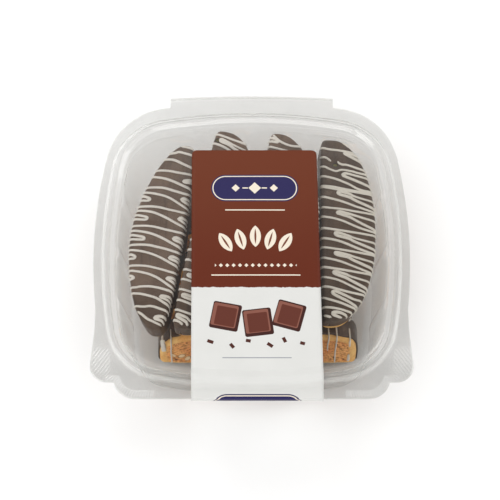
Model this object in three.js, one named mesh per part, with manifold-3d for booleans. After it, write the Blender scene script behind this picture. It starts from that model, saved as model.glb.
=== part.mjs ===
// A shut clear plastic clamshell pack of eight chocolate dipped almond biscotti, held by a paper band.
// Millimetres, +Z up, the front of the pack faces -Y. The origin is the middle of the pack's underside.

import * as THREE from "three";
import { mergeVertices } from "three/addons/utils/BufferGeometryUtils.js";
import Module from "manifold-3d";

const wasm = await Module();
wasm.setup();

// ---- Driving dimensions -------------------------------------------------------------------------

// Plan of the pack: a square with bowed sides and round corners. Every ring of the pack is this
// outline, moved in along its own normals.
const RIM_HALF = 90; // middle of a side of the rim, from the centre
const SIDE_RADIUS = 305; // bow of a side
const CORNER_RADIUS = 39.6; // of the rim's corners
const CORNER_STEPS = 8;
const LOBED_CORNER_STEPS = 16;
const SKIN = 0.8; // thickness of the plastic
const GAP = 0.3; // clearance between pieces that touch
const MERGE_WITHIN = 1e-4; // points closer than this are one
const PARALLEL = 1e-9; // cross product below which two lines count as parallel

// Base tray.
const RIM_HEIGHT = 53; // top of the base's flange
const BACK_REACH = 4; // how much wider both flanges are along the back
const BACK_REACH_FROM = 45; // Y where that begins and where it is full
const BACK_REACH_TO = 80;
const FLOOR_HALF = 66.5; // flat of the floor, before it curves up
const FILLET_HALF = 69.8;
const FILLET_HEIGHT = 2.4;
const WALL_FOOT_HALF = 71.8; // inside of the wall at its foot and at its top
const WALL_FOOT_HEIGHT = 6;
const WALL_TOP_HALF = 77.3;
const WALL_TOP_DROP = 4; // below the flange
const MOUTH_HALF = 78.2;
const RIB_DEPTH = 1.2; // upright ribs that stiffen the wall
const RIB_HALF_WIDTH = 2;
const RIB_SLOPE = 2.5;
const RIB_PLACES = [-34, 0, 34]; // along each side

// Lid: a sunk panel inside a raised bead, above a flange. Heights are from the base's flange.
const PANEL_RISE = 3;
const BEAD_RISE = 5.4;
const PANEL_HALF = 76.4;
const BEAD_SLOPE_HALF = 78.2;
const BEAD_INNER_HALF = 80.6;
const BEAD_OUTER_HALF = 84;
const BEAD_FOOT_HALF = 85.6;

// Edge of both flanges at the front: corner lobes that stick out sideways, and a straight front tab.
const LOBE_SIDE = 89.4; // half width over the lobes
const LOBE_WAIST = 87.7; // half width where they begin
const LOBE_START = -38; // Y of that place
const LOBE_STRAIGHT = 12; // length of their waist
const LOBE_FRONT = -81.5;
const LOBE_RADIUS = 10;
const TAB_HALF = 76;
const TAB_FRONT = -91;
const TAB_RADIUS = 12;
const LOBE_ARC_STEPS = 8;

// Hinge at the back.
const HINGE_HALF = 48;
const HINGE_STEP = 0.05; // between the two stations at each end of it
const HINGE_BACK = 96.6;
const HINGE_RADIUS = 770; // its slight bow
const HINGE_FOLD = 1; // how far the fold stands behind the flanges
const HINGE_FOLD_ROUND = 0.75; // share of that at which the fold's two halves start to close
const HINGE_STEPS = 12;

// Paper band over the lid, down over the front of the rim and back to the base's front wall.
const BAND_LEFT = -34.6;
const BAND_RIGHT = 38;
const BAND_THICK = 0.3;
const BAND_BACK = 60.3; // Y of its back end on the lid
const BAND_SLANT = 0.011; // how far it strays to the right for each millimetre forward
const BAND_PIVOT = 38; // Y at which its edges are where their places say
const BAND_CORNER = 3;
const BAND_COLUMNS = 8;
const BAND_MEETS_WALL = 24; // height where it reaches the front wall
const BAND_END = 7;
const BAND_SLACK = 1.2; // how far it stands off the foot of the lid's bead
const BAND_FOLD_LIMIT = 0.6; // least cosine of half a fold at which the paper keeps its thickness

// A biscotto: one long side is the loaf's flat bottom, the other its dome.
const CUT_THICK = 16.5; // with its chocolate
const COAT_THICK = 2; // over the dipped face
const COAT_SIDE = 0.9; // on the sides
const FLAT_SHARE = 0.16; // share of the width that the rounding of the flat side takes
const EDGE_ROUND = 1.4; // of the chocolate's edge
const CRUST_ROUND = 2.4; // of the undipped face's edge
const OUTLINE_STEPS = 26;

// White drizzle on the dipped face: two strokes right across and one short loop in each repeat.
const DRIZZLE_REPEAT = 12.5;
const DRIZZLE_WIDTH = 1.3;
const DRIZZLE_RISE = 0.6;
const DRIZZLE_DEEP = 0.5; // how far it reaches into the chocolate
const DRIZZLE_FOOT = 1.3; // width at its foot and at its top, as a share of its width
const DRIZZLE_TOP = 0.45;
// Where the strokes of one repeat start and meet, as shares of the repeat along the piece.
const STROKE_STARTS = [0.1, -0.42];
const STROKES_MEET = -0.72;
const LOOP_START = -0.86;
const LOOP_ENDS = [-1.38, -1.62];
const LOOP_ACROSS = 0.48; // share of the width at which the loop starts
const FLAT_SKIRT = 0.85; // share of the thickness that the chocolate covers at the flat side
const SKIRT_WAVE = 0.12; // unevenness of the chocolate's lower edge, as a share of its depth
const SKIRT_WAVE_TURN = 1.9; // radians from one point of the outline to the next

// Upper layer, four pieces side by side with the dipped face up: the middle of each, its turn and
// lean in degrees, its size, the height of its underside, the powers of its dome's and flat side's
// curves and the share of the thickness that the chocolate covers. "mirrored" puts the flat side
// right.
const UPPER = [
  { x: -52.7, y: 11, turn: -8.4, lean: -7, length: 115.4, width: 29.1, bottom: 31.2, dome: 1.7,
    flat: 4, skirt: 0.76, mirrored: true },
  { x: -17, y: 11, turn: -10.9, lean: 0, length: 124.8, width: 31.6, bottom: 36.7, dome: 2.2,
    flat: 6, skirt: 0.5 },
  { x: 21.7, y: 11.6, turn: -4.4, lean: 0, length: 121, width: 31.2, bottom: 36.7, dome: 2,
    flat: 6, skirt: 0.72 },
  { x: 54.2, y: 13.7, turn: -0.6, lean: 7, length: 112.8, width: 29.4, bottom: 32.7, dome: 2.1,
    flat: 9, skirt: 0.55 },
];

// Lower layer, four pieces across the pack that stand on their flat sides, undipped face forward.
const LOWER_LEAN = 10; // degrees that they lean back
const LOWER_FOOT = -53.2; // Y of the foot of the first one's undipped face
const LOWER_PITCH = 22;
const LOWER = [
  { x: 3.5, length: 113.7, width: 31.2, dome: 4.3, flat: 6, skirt: 0.86 },
  { x: 0.4, length: 115, width: 31, dome: 1.9, flat: 6, skirt: 0.9 },
  { x: 1.8, length: 118, width: 31.3, dome: 2, flat: 6, skirt: 0.88 },
  { x: -0.6, length: 114, width: 31.1, dome: 1.9, flat: 6, skirt: 0.9 },
];

// ---- Materials ----------------------------------------------------------------------------------

const clearPlastic = new THREE.MeshStandardMaterial({
  color: "#dcded9",
  roughness: 0.12,
  metalness: 0,
  transparent: true,
  opacity: 0.3,
});
const paperBand = new THREE.MeshStandardMaterial({ color: "#7a4834", roughness: 0.55, metalness: 0 });
const bakedDough = new THREE.MeshStandardMaterial({ color: "#c98a4e", roughness: 0.85, metalness: 0 });
const darkChocolate = new THREE.MeshStandardMaterial({ color: "#4a362c", roughness: 0.45, metalness: 0 });

// ---- Solids from rings --------------------------------------------------------------------------

// Triangles as a merged geometry, turned round as a whole if they enclose a negative volume.
function closedBody(positions) {
  const [a, b, c] = [new THREE.Vector3(), new THREE.Vector3(), new THREE.Vector3()];
  let volume = 0;
  for (let i = 0; i < positions.length; i += 9) {
    a.fromArray(positions, i);
    b.fromArray(positions, i + 3);
    c.fromArray(positions, i + 6);
    volume += a.dot(b.cross(c));
  }
  const geometry = new THREE.BufferGeometry();
  geometry.setAttribute("position", new THREE.Float32BufferAttribute(positions, 3));
  const merged = mergeVertices(geometry, MERGE_WITHIN);
  if (volume < 0) merged.index.array.reverse();
  return merged;
}

// One closed body from a stack of rings of equally many points, capped at both ends by a fan.
function loftRings(rings) {
  const count = rings[0].length;
  const positions = [];
  const middles = [rings[0], rings[rings.length - 1]].map((ring) => {
    const middle = new THREE.Vector3();
    ring.forEach((p) => middle.add(p));
    return middle.divideScalar(count);
  });
  const put = (...points) => points.forEach((p) => positions.push(p.x, p.y, p.z));
  for (let i = 0; i < count; i++) {
    const j = (i + 1) % count;
    put(middles[0], rings[0][j], rings[0][i]);
    put(middles[1], rings[rings.length - 1][i], rings[rings.length - 1][j]);
    for (let k = 0; k + 1 < rings.length; k++) {
      const [low, high] = [rings[k], rings[k + 1]];
      put(low[i], low[j], high[j]);
      put(low[i], high[j], high[i]);
    }
  }
  return closedBody(positions);
}

function toManifold(geometry) {
  const bare = geometry.clone();
  bare.deleteAttribute("normal");
  bare.deleteAttribute("uv");
  const merged = mergeVertices(bare, MERGE_WITHIN);
  return new wasm.Manifold(
    new wasm.Mesh({
      numProp: 3,
      vertProperties: merged.attributes.position.array,
      triVerts: new Uint32Array(merged.index.array),
    }),
  );
}

function fromManifold(solid) {
  const mesh = solid.getMesh();
  const geometry = new THREE.BufferGeometry();
  geometry.setAttribute("position", new THREE.BufferAttribute(mesh.vertProperties, 3));
  geometry.setIndex(new THREE.BufferAttribute(mesh.triVerts, 1));
  geometry.computeVertexNormals();
  return geometry;
}

function named(name, geometry, material) {
  const mesh = new THREE.Mesh(geometry, material);
  mesh.name = name;
  geometry.computeVertexNormals();
  return mesh;
}

// ---- Plan of the pack ---------------------------------------------------------------------------

// Centre of the corner arc in the first quadrant, which is tangent inside to both side arcs.
const SIDE_CENTRE = RIM_HALF - SIDE_RADIUS;
const CORNER_CENTRE = (() => {
  const reach = SIDE_RADIUS - CORNER_RADIUS;
  return (SIDE_CENTRE + Math.sqrt(2 * reach * reach - SIDE_CENTRE * SIDE_CENTRE)) / 2;
})();
const SIDE_HALF_ANGLE = Math.atan2(CORNER_CENTRE, CORNER_CENTRE - SIDE_CENTRE);

// Stations round the pack, counter-clockwise from the middle of the right side. Each has a point on
// the rim, its outward normal, and how much of a wall rib it carries, from 0 to 1.
function makeStations() {
  const stations = [];
  const ribEdge = RIB_HALF_WIDTH + RIB_SLOPE;
  for (let side = 0; side < 4; side++) {
    const axis = (side * Math.PI) / 2;
    const along = RIB_PLACES.flatMap((place) => [
      [place - ribEdge, 0],
      [place - RIB_HALF_WIDTH, 1],
      [place + RIB_HALF_WIDTH, 1],
      [place + ribEdge, 0],
    ]);
    // The hinge's two ends are steps, so the back side has a close pair of stations at each.
    if (side === 1) {
      const ends = [HINGE_HALF, HINGE_HALF + HINGE_STEP];
      along.push(...ends.flatMap((end) => [[-end, 0], [end, 0]]));
    }
    along.sort((a, b) => a[0] - b[0]);
    for (const [distance, rib] of along) {
      stations.push(stationOn(SIDE_CENTRE, 0, Math.asin(distance / SIDE_RADIUS), SIDE_RADIUS, axis, rib));
    }
    // The corner that follows each side: the two at the front are finer, for their lobes.
    const steps = side >= 2 ? LOBED_CORNER_STEPS : CORNER_STEPS;
    for (let k = 0; k <= steps; k++) {
      const turn = SIDE_HALF_ANGLE + (k / steps) * (Math.PI / 2 - 2 * SIDE_HALF_ANGLE);
      stations.push(stationOn(CORNER_CENTRE, CORNER_CENTRE, turn, CORNER_RADIUS, axis, 0));
    }
  }
  return stations;
}

function stationOn(centreX, centreY, angle, radius, axis, rib) {
  const turned = (x, y) =>
    new THREE.Vector2(x * Math.cos(axis) - y * Math.sin(axis), x * Math.sin(axis) + y * Math.cos(axis));
  const normal = turned(Math.cos(angle), Math.sin(angle));
  const point = turned(centreX + radius * Math.cos(angle), centreY + radius * Math.sin(angle));
  return { point, normal, rib };
}

const STATIONS = makeStations();

// A level ring of the pack whose sides are `half` from the centre.
function ring(half, height, ribDepth = 0) {
  return STATIONS.map(({ point, normal, rib }) => {
    const inward = RIM_HALF - half + rib * ribDepth;
    return new THREE.Vector3(point.x - normal.x * inward, point.y - normal.y * inward, height);
  });
}

// A level ring along the edge of a flange: the rim, or the hinge tab, lobes or front tab that reach
// further. Both flanges have the same outline.
function flangeRing(height) {
  return STATIONS.map(({ point, normal }) => {
    if (point.y > 0 && Math.abs(point.x) < HINGE_HALF + HINGE_STEP / 2) {
      return new THREE.Vector3(point.x, hingeEdge(point.x), height);
    }
    const reach = Math.max(reachOf(point, normal, sideLobes), reachOf(point, normal, frontTab));
    const back = BACK_REACH * THREE.MathUtils.smoothstep(point.y, BACK_REACH_FROM, BACK_REACH_TO);
    return new THREE.Vector3(point.x + normal.x * reach, point.y + normal.y * reach + back, height);
  });
}

// Y of the hinge tab's slightly bowed back edge.
function hingeEdge(x) {
  return HINGE_BACK - HINGE_RADIUS + Math.sqrt(HINGE_RADIUS * HINGE_RADIUS - x * x);
}

// How far an outline lies beyond a point of the rim along its normal.
function reachOf(point, normal, outline) {
  let reach = 0;
  for (let i = 0; i < outline.length; i++) {
    const a = outline[i];
    const b = outline[(i + 1) % outline.length];
    const edge = b.clone().sub(a);
    const towards = a.clone().sub(point);
    const cross = normal.cross(edge);
    if (Math.abs(cross) < PARALLEL) continue;
    const along = towards.cross(edge) / cross;
    const share = towards.cross(normal) / cross;
    if (share >= 0 && share <= 1 && along > reach) reach = along;
  }
  return reach;
}

function mirroredOutline(half) {
  const other = half.map((p) => new THREE.Vector2(-p.x, p.y)).reverse();
  return half.concat(other);
}

// The front left corner arc of a lobe or tab, about the centre (x, y).
function cornerArc(x, y, radius) {
  return Array.from({ length: LOBE_ARC_STEPS + 1 }, (_, k) => {
    const angle = Math.PI + ((Math.PI / 2) * k) / LOBE_ARC_STEPS;
    return new THREE.Vector2(x + radius * Math.cos(angle), y + radius * Math.sin(angle));
  });
}

const sideLobes = mirroredOutline([
  new THREE.Vector2(0, LOBE_START),
  new THREE.Vector2(-LOBE_WAIST, LOBE_START),
  new THREE.Vector2(-LOBE_WAIST, LOBE_START - LOBE_STRAIGHT),
  ...cornerArc(-LOBE_SIDE + LOBE_RADIUS, LOBE_FRONT + LOBE_RADIUS, LOBE_RADIUS),
  new THREE.Vector2(0, LOBE_FRONT),
]);
const frontTab = mirroredOutline([
  new THREE.Vector2(0, 0),
  new THREE.Vector2(-TAB_HALF, 0),
  ...cornerArc(-TAB_HALF + TAB_RADIUS, TAB_FRONT + TAB_RADIUS, TAB_RADIUS),
  new THREE.Vector2(0, TAB_FRONT),
]);

// ---- Plastic ------------------------------------------------------------------------------------

function makeBase() {
  const top = RIM_HEIGHT;
  const inside = [
    ring(FLOOR_HALF, SKIN),
    ring(FILLET_HALF, SKIN + FILLET_HEIGHT),
    ring(WALL_FOOT_HALF, WALL_FOOT_HEIGHT, RIB_DEPTH),
    ring(WALL_TOP_HALF, top - WALL_TOP_DROP, RIB_DEPTH),
    ring(MOUTH_HALF, top),
    flangeRing(top),
  ];
  const outside = [
    flangeRing(top - SKIN),
    ring(MOUTH_HALF + SKIN, top - SKIN),
    ring(WALL_TOP_HALF + SKIN, top - WALL_TOP_DROP, RIB_DEPTH),
    ring(WALL_FOOT_HALF + SKIN, WALL_FOOT_HEIGHT, RIB_DEPTH),
    ring(FILLET_HALF + SKIN, FILLET_HEIGHT),
    ring(FLOOR_HALF, 0),
  ];
  return named("base", loftRings([...inside, ...outside]), clearPlastic);
}

function makeLid() {
  const low = RIM_HEIGHT + GAP;
  const under = [
    ring(PANEL_HALF, RIM_HEIGHT + PANEL_RISE - SKIN),
    ring(BEAD_SLOPE_HALF, RIM_HEIGHT + PANEL_RISE - SKIN / 2),
    ring(BEAD_INNER_HALF + SKIN / 2, RIM_HEIGHT + BEAD_RISE - SKIN),
    ring(BEAD_OUTER_HALF - SKIN / 2, RIM_HEIGHT + BEAD_RISE - SKIN),
    ring(BEAD_FOOT_HALF - SKIN / 2, low),
    flangeRing(low),
  ];
  const over = [
    flangeRing(low + SKIN),
    ring(BEAD_FOOT_HALF, low + SKIN),
    ring(BEAD_OUTER_HALF, RIM_HEIGHT + BEAD_RISE),
    ring(BEAD_INNER_HALF, RIM_HEIGHT + BEAD_RISE),
    ring(BEAD_SLOPE_HALF - SKIN / 2, RIM_HEIGHT + PANEL_RISE + SKIN / 2),
    ring(PANEL_HALF - SKIN / 2, RIM_HEIGHT + PANEL_RISE),
  ];
  return named("lid", loftRings([...under, ...over]), clearPlastic);
}

// The living hinge: a thin fold that joins the back edges of both flanges.
function makeHinge() {
  const low = RIM_HEIGHT - SKIN;
  const high = RIM_HEIGHT + GAP + SKIN;
  const middle = (low + high) / 2;
  const sections = Array.from({ length: HINGE_STEPS + 1 }, (_, k) => {
    const x = -HINGE_HALF + (2 * HINGE_HALF * k) / HINGE_STEPS;
    const back = hingeEdge(x) + GAP;
    return [
      new THREE.Vector3(x, back, low),
      new THREE.Vector3(x, back, high),
      new THREE.Vector3(x, back + HINGE_FOLD * HINGE_FOLD_ROUND, (middle + high) / 2),
      new THREE.Vector3(x, back + HINGE_FOLD, middle),
      new THREE.Vector3(x, back + HINGE_FOLD * HINGE_FOLD_ROUND, (middle + low) / 2),
    ];
  });
  return named("hinge", loftRings(sections), clearPlastic);
}

// ---- Paper band ---------------------------------------------------------------------------------

// Y of a side's bow at a distance x from its middle, on the front of the ring of size `half`.
function frontOf(half, x) {
  const radius = SIDE_RADIUS - (RIM_HALF - half);
  return -(half - radius + Math.sqrt(radius * radius - x * x));
}

const ARC_NEAR = 1 - Math.SQRT1_2; // share of a corner's radius left at the middle of its arc

function makeBand() {
  const panel = RIM_HEIGHT + PANEL_RISE + GAP;
  const bead = RIM_HEIGHT + BEAD_RISE + GAP;
  const flange = RIM_HEIGHT + GAP + SKIN + GAP;
  const underBase = RIM_HEIGHT - SKIN - GAP;
  const wall = (height) => {
    const share = (height - WALL_FOOT_HEIGHT) / (RIM_HEIGHT - WALL_TOP_DROP - WALL_FOOT_HEIGHT);
    return WALL_FOOT_HALF + share * (WALL_TOP_HALF - WALL_FOOT_HALF) + SKIN + GAP;
  };
  const flat = (y) => () => y;
  const bowed = (half) => (x) => frontOf(half, x);
  // Inner face of the band, from its back end round to its lower end: the place and the height.
  const path = [
    [flat(BAND_BACK), panel],
    [flat(BAND_BACK - BAND_CORNER * ARC_NEAR), panel],
    [flat(BAND_BACK - BAND_CORNER), panel],
    [bowed(PANEL_HALF - 2 * GAP), panel],
    [bowed(BEAD_INNER_HALF - GAP), bead],
    [bowed(BEAD_OUTER_HALF + GAP), bead],
    [bowed(BEAD_FOOT_HALF + BAND_SLACK), flange + GAP],
    [flat(TAB_FRONT - GAP), flange],
    [flat(TAB_FRONT - GAP), underBase],
    [bowed(wall(BAND_MEETS_WALL)), BAND_MEETS_WALL],
    [bowed(wall(BAND_END)), BAND_END],
  ];
  const inset = [BAND_CORNER, BAND_CORNER * ARC_NEAR, 0];
  const middle = (BAND_LEFT + BAND_RIGHT) / 2;
  const half = (BAND_RIGHT - BAND_LEFT) / 2;
  const rows = path.map(([place, height], row) => {
    const reach = half - (inset[row] ?? 0);
    return Array.from({ length: BAND_COLUMNS + 1 }, (_, k) => {
      const square = middle + reach * (-1 + (2 * k) / BAND_COLUMNS);
      const x = square + BAND_SLANT * (BAND_PIVOT - place(square));
      return new THREE.Vector3(x, place(x), height);
    });
  });
  const outer = rows.map((line, row) => {
    const before = path[Math.max(0, row - 1)];
    const after = path[Math.min(path.length - 1, row + 1)];
    return line.map((p) => p.clone().add(outwardAt(p, before, path[row], after)));
  });
  // Each column's closed loop of points is one section of the band, from its left edge to its right.
  const sections = Array.from({ length: BAND_COLUMNS + 1 }, (_, k) => [
    ...rows.map((line) => line[k]),
    ...outer.map((line) => line[k]).reverse(),
  ]);
  return named("label_band", stripFromSections(sections), paperBand);
}

// The paper's thickness at a point of its path, square to the path there.
function outwardAt(point, before, here, after) {
  const at = ([place, height]) => new THREE.Vector2(place(point.x), height);
  const into = at(here).sub(at(before));
  const out = at(after).sub(at(here));
  const normals = [into, out].filter((v) => v.length() > 0).map((v) => {
    v.normalize();
    return new THREE.Vector2(v.y, -v.x);
  });
  const mean = normals.reduce((sum, n) => sum.add(n), new THREE.Vector2()).normalize();
  const stretch = BAND_THICK / Math.max(BAND_FOLD_LIMIT, mean.dot(normals[0]));
  return new THREE.Vector3(0, mean.x * stretch, mean.y * stretch);
}

// A closed strip whose sections are loops that bend, so its two ends are capped as ribbons.
function stripFromSections(sections) {
  const positions = [];
  const put = (...points) => points.forEach((p) => positions.push(p.x, p.y, p.z));
  const count = sections[0].length;
  for (let k = 0; k + 1 < sections.length; k++) {
    for (let i = 0; i < count; i++) {
      const j = (i + 1) % count;
      put(sections[k][i], sections[k][j], sections[k + 1][j]);
      put(sections[k][i], sections[k + 1][j], sections[k + 1][i]);
    }
  }
  const cap = (loop, turned) => {
    for (let i = 0; i + 1 < count / 2; i++) {
      const [a, b, c, d] = [loop[i], loop[i + 1], loop[count - 2 - i], loop[count - 1 - i]];
      if (turned) {
        put(a, b, c);
        put(a, c, d);
      } else {
        put(a, c, b);
        put(a, d, c);
      }
    }
  };
  cap(sections[0], false);
  cap(sections[sections.length - 1], true);
  return closedBody(positions);
}

// ---- Biscotti -----------------------------------------------------------------------------------

// Direction of a point of a piece's outline: its cosine is below zero on the flat side.
function outlineAngle(index) {
  return (2 * Math.PI * index) / OUTLINE_STEPS - Math.PI / 2;
}

// Outline of a cut face: x from the flat side at 0 to the dome, y along the piece, `grow` outwards.
function biscottoOutline({ length, width, dome, flat }, grow) {
  const foot = width * FLAT_SHARE;
  const points = [];
  for (let k = 0; k < OUTLINE_STEPS; k++) {
    const [c, s] = [Math.cos(outlineAngle(k)), Math.sin(outlineAngle(k))];
    const power = 2 / (c >= 0 ? dome : flat);
    const across = c >= 0 ? width - foot + grow : foot + grow;
    points.push(
      new THREE.Vector2(
        foot + across * Math.sign(c) * Math.abs(c) ** power,
        (length / 2 + grow) * Math.sign(s) * Math.abs(s) ** power,
      ),
    );
  }
  return points;
}

function levelRing(piece, grow, height) {
  const z = typeof height === "function" ? height : () => height;
  return biscottoOutline(piece, grow).map((p, i) => new THREE.Vector3(p.x, p.y, z(i)));
}

function doughGeometry(piece) {
  const top = CUT_THICK - COAT_THICK - GAP;
  return loftRings([
    levelRing(piece, -CRUST_ROUND, 0),
    levelRing(piece, 0, CRUST_ROUND),
    levelRing(piece, 0, top),
  ]);
}

// The chocolate is a cap: it covers the dipped face and hangs down the sides to a wavy edge.
function coatGeometry(piece, full) {
  const wave = (i) => SKIRT_WAVE * Math.sin(i * SKIRT_WAVE_TURN + piece.length);
  const edge = (i) => {
    const dome = piece.skirt * (1 + wave(i));
    const flatSide = Math.sqrt(Math.max(0, -Math.cos(outlineAngle(i))));
    return CUT_THICK * (1 - dome - Math.max(0, FLAT_SKIRT - dome) * flatSide);
  };
  const cap = toManifold(
    loftRings([
      levelRing(piece, GAP, CUT_THICK - COAT_THICK),
      levelRing(piece, GAP, edge),
      levelRing(piece, COAT_SIDE, edge),
      levelRing(piece, COAT_SIDE, CUT_THICK - EDGE_ROUND),
      levelRing(piece, COAT_SIDE - EDGE_ROUND, CUT_THICK),
    ]),
  );
  const outline = levelRing(piece, COAT_SIDE - EDGE_ROUND, 0);
  const field = toManifold(
    loftRings([outline, outline.map((p) => p.clone().setZ(CUT_THICK + DRIZZLE_RISE * 2))]),
  );
  const strokes = wasm.Manifold.union(drizzleStrokes(piece, full).map(strokeSolid));
  return fromManifold(cap.add(strokes.intersect(field)));
}

// The strokes of one piece as pairs of ends: two cross the whole face and meet at the dome side,
// and on the upper pieces a loop of two short strokes starts in the middle of the face.
function drizzleStrokes({ length, width }, full) {
  const strokes = [];
  const first = -length / 2 - DRIZZLE_REPEAT;
  for (let y = first; y < length / 2 + DRIZZLE_REPEAT; y += DRIZZLE_REPEAT) {
    const at = (x, share) => new THREE.Vector2(x, y + DRIZZLE_REPEAT * share);
    STROKE_STARTS.forEach((start) => strokes.push([at(-1, start), at(width + 1, STROKES_MEET)]));
    if (full) {
      const loop = at(width * LOOP_ACROSS, LOOP_START);
      LOOP_ENDS.forEach((end) => strokes.push([loop, at(width + 1, end)]));
    }
  }
  return strokes;
}

function strokeSolid([from, to]) {
  const along = to.clone().sub(from);
  const across = new THREE.Vector2(-along.y, along.x).normalize().multiplyScalar(DRIZZLE_WIDTH / 2);
  const corner = (p, share, height) =>
    new THREE.Vector3(p.x + across.x * share, p.y + across.y * share, CUT_THICK + height);
  const section = (p) => [
    corner(p, DRIZZLE_FOOT, -DRIZZLE_DEEP),
    corner(p, -DRIZZLE_FOOT, -DRIZZLE_DEEP),
    corner(p, -DRIZZLE_TOP, DRIZZLE_RISE),
    corner(p, DRIZZLE_TOP, DRIZZLE_RISE),
  ];
  return toManifold(loftRings([section(from), section(to)]));
}

// A biscotto with its chocolate, as two meshes in a group about the middle of its cut face.
function makeBiscotto(label, piece, full) {
  const group = new THREE.Group();
  const dough = named(`biscotto_${label}`, doughGeometry(piece), bakedDough);
  const coat = named(`chocolate_${label}`, coatGeometry(piece, full), darkChocolate);
  [dough, coat].forEach((mesh) => mesh.position.set(-piece.width / 2, 0, 0));
  group.add(dough, coat);
  return group;
}

function makeUpperLayer() {
  const layer = new THREE.Group();
  UPPER.forEach((piece, index) => {
    const biscotto = makeBiscotto(`upper_${index + 1}`, piece, true);
    if (piece.mirrored) biscotto.rotation.z = Math.PI;
    const leaning = new THREE.Group();
    leaning.rotation.y = THREE.MathUtils.degToRad(piece.lean);
    leaning.add(biscotto);
    const placed = new THREE.Group();
    placed.rotation.z = THREE.MathUtils.degToRad(piece.turn);
    placed.position.set(piece.x, piece.y, piece.bottom);
    placed.add(leaning);
    layer.add(placed);
  });
  return layer;
}

// Standing pieces: the flat side is down, and the dipped face looks to the back of the pack. Each
// leans back on the far edge of its flat side.
function makeLowerLayer() {
  const layer = new THREE.Group();
  const lean = THREE.MathUtils.degToRad(LOWER_LEAN);
  const lift = CUT_THICK * Math.sin(lean) + COAT_SIDE * Math.cos(lean);
  LOWER.forEach((piece, index) => {
    const biscotto = makeBiscotto(`lower_${index + 1}`, piece, false);
    biscotto.position.x = piece.width / 2;
    const standing = new THREE.Group();
    standing.matrixAutoUpdate = false;
    const [across, along, thick] = [
      new THREE.Vector3(0, 0, 1),
      new THREE.Vector3(1, 0, 0),
      new THREE.Vector3(0, 1, 0),
    ];
    standing.matrix.makeBasis(across, along, thick);
    standing.add(biscotto);
    const leaning = new THREE.Group();
    leaning.rotation.x = -lean;
    leaning.position.set(piece.x, LOWER_FOOT + index * LOWER_PITCH, SKIN + GAP + lift);
    leaning.add(standing);
    layer.add(leaning);
  });
  return layer;
}

const pack = new THREE.Group();
pack.add(makeBase(), makeLid(), makeHinge(), makeBand(), makeLowerLayer(), makeUpperLayer());

export default pack;
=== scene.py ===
"""A shut clear clamshell pack of chocolate dipped almond biscotti, dressed over its CAD frame.

Shapes are worked out in millimetres in the frame of the CAD and turned into metres by mesh_piece().
"""

import itertools
import math

import bpy
import numpy as np
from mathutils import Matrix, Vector


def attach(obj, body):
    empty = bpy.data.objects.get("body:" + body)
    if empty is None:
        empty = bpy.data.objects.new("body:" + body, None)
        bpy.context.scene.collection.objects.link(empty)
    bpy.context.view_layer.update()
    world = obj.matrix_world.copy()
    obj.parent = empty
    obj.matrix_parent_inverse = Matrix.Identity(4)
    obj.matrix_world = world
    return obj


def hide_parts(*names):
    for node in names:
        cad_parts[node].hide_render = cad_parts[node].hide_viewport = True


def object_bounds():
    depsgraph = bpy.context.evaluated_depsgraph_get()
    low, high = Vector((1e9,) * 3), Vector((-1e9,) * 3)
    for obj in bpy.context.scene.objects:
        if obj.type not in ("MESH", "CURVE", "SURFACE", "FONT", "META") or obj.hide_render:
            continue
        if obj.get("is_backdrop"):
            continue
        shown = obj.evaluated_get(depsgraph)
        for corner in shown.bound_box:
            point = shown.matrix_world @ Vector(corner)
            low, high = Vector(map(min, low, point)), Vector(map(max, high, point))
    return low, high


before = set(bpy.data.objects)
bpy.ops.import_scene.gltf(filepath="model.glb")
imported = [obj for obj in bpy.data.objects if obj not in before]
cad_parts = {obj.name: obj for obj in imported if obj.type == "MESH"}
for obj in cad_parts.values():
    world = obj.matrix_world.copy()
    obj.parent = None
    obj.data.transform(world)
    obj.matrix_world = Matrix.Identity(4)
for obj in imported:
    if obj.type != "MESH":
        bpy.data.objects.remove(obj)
CAD_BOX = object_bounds()
MM = 0.001

# ---- Sizes in millimetres, nearly all as in the part's source ---------------------------------------

RIM_HALF = 90.0
SIDE_RADIUS = 305.0
CORNER_RADIUS = 39.6
RIM_HEIGHT = 53.0
BACK_REACH, BACK_REACH_FROM, BACK_REACH_TO = 4.0, 45.0, 80.0
SHEET = 0.5  # height of the lid's flange above its underside
GAP = 0.3  # clearance between pieces that touch
SKIN = 0.8  # thickness of the plastic in the solids
PANEL_RISE, BEAD_RISE = 3.0, 5.4  # of the lid, above the rim
LID_LOW = RIM_HEIGHT + GAP
FOOT_HALF = 85.6  # where the flanges begin
RIB_DEPTH = 1.2
RIB_HALF_WIDTH = 2.0
RIB_SLOPE = 2.5
RIB_PLACES = (-34.0, 0.0, 34.0)
LOBE_SIDE, LOBE_WAIST, LOBE_START, LOBE_STRAIGHT = 89.4, 87.7, -38.0, 12.0
LOBE_FRONT, LOBE_RADIUS = -81.5, 10.0
TAB_HALF, TAB_FRONT, TAB_RADIUS = 76.0, -91.0, 12.0
HINGE_HALF, HINGE_STEP, HINGE_BACK, HINGE_RADIUS = 48.0, 0.05, 96.6, 770.0

BAND_LEFT, BAND_RIGHT = -34.6, 38.0
BAND_BACK = 60.3
BAND_CORNER = 3.0
BAND_SLANT, BAND_PIVOT = 0.011, 38.0
BAND_THICK = 0.25

CUT_THICK = 16.5
COAT_THICK = 2.0  # over the dipped face
COAT_SIDE = 0.9  # on the sides
CRUST_ROUND = 2.4
FLAT_SHARE = 0.16  # share of the width that lies on the flat side of the widest place
FLAT_SKIRT = 0.85  # share of the height that chocolate covers on the flat side, at least

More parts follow.
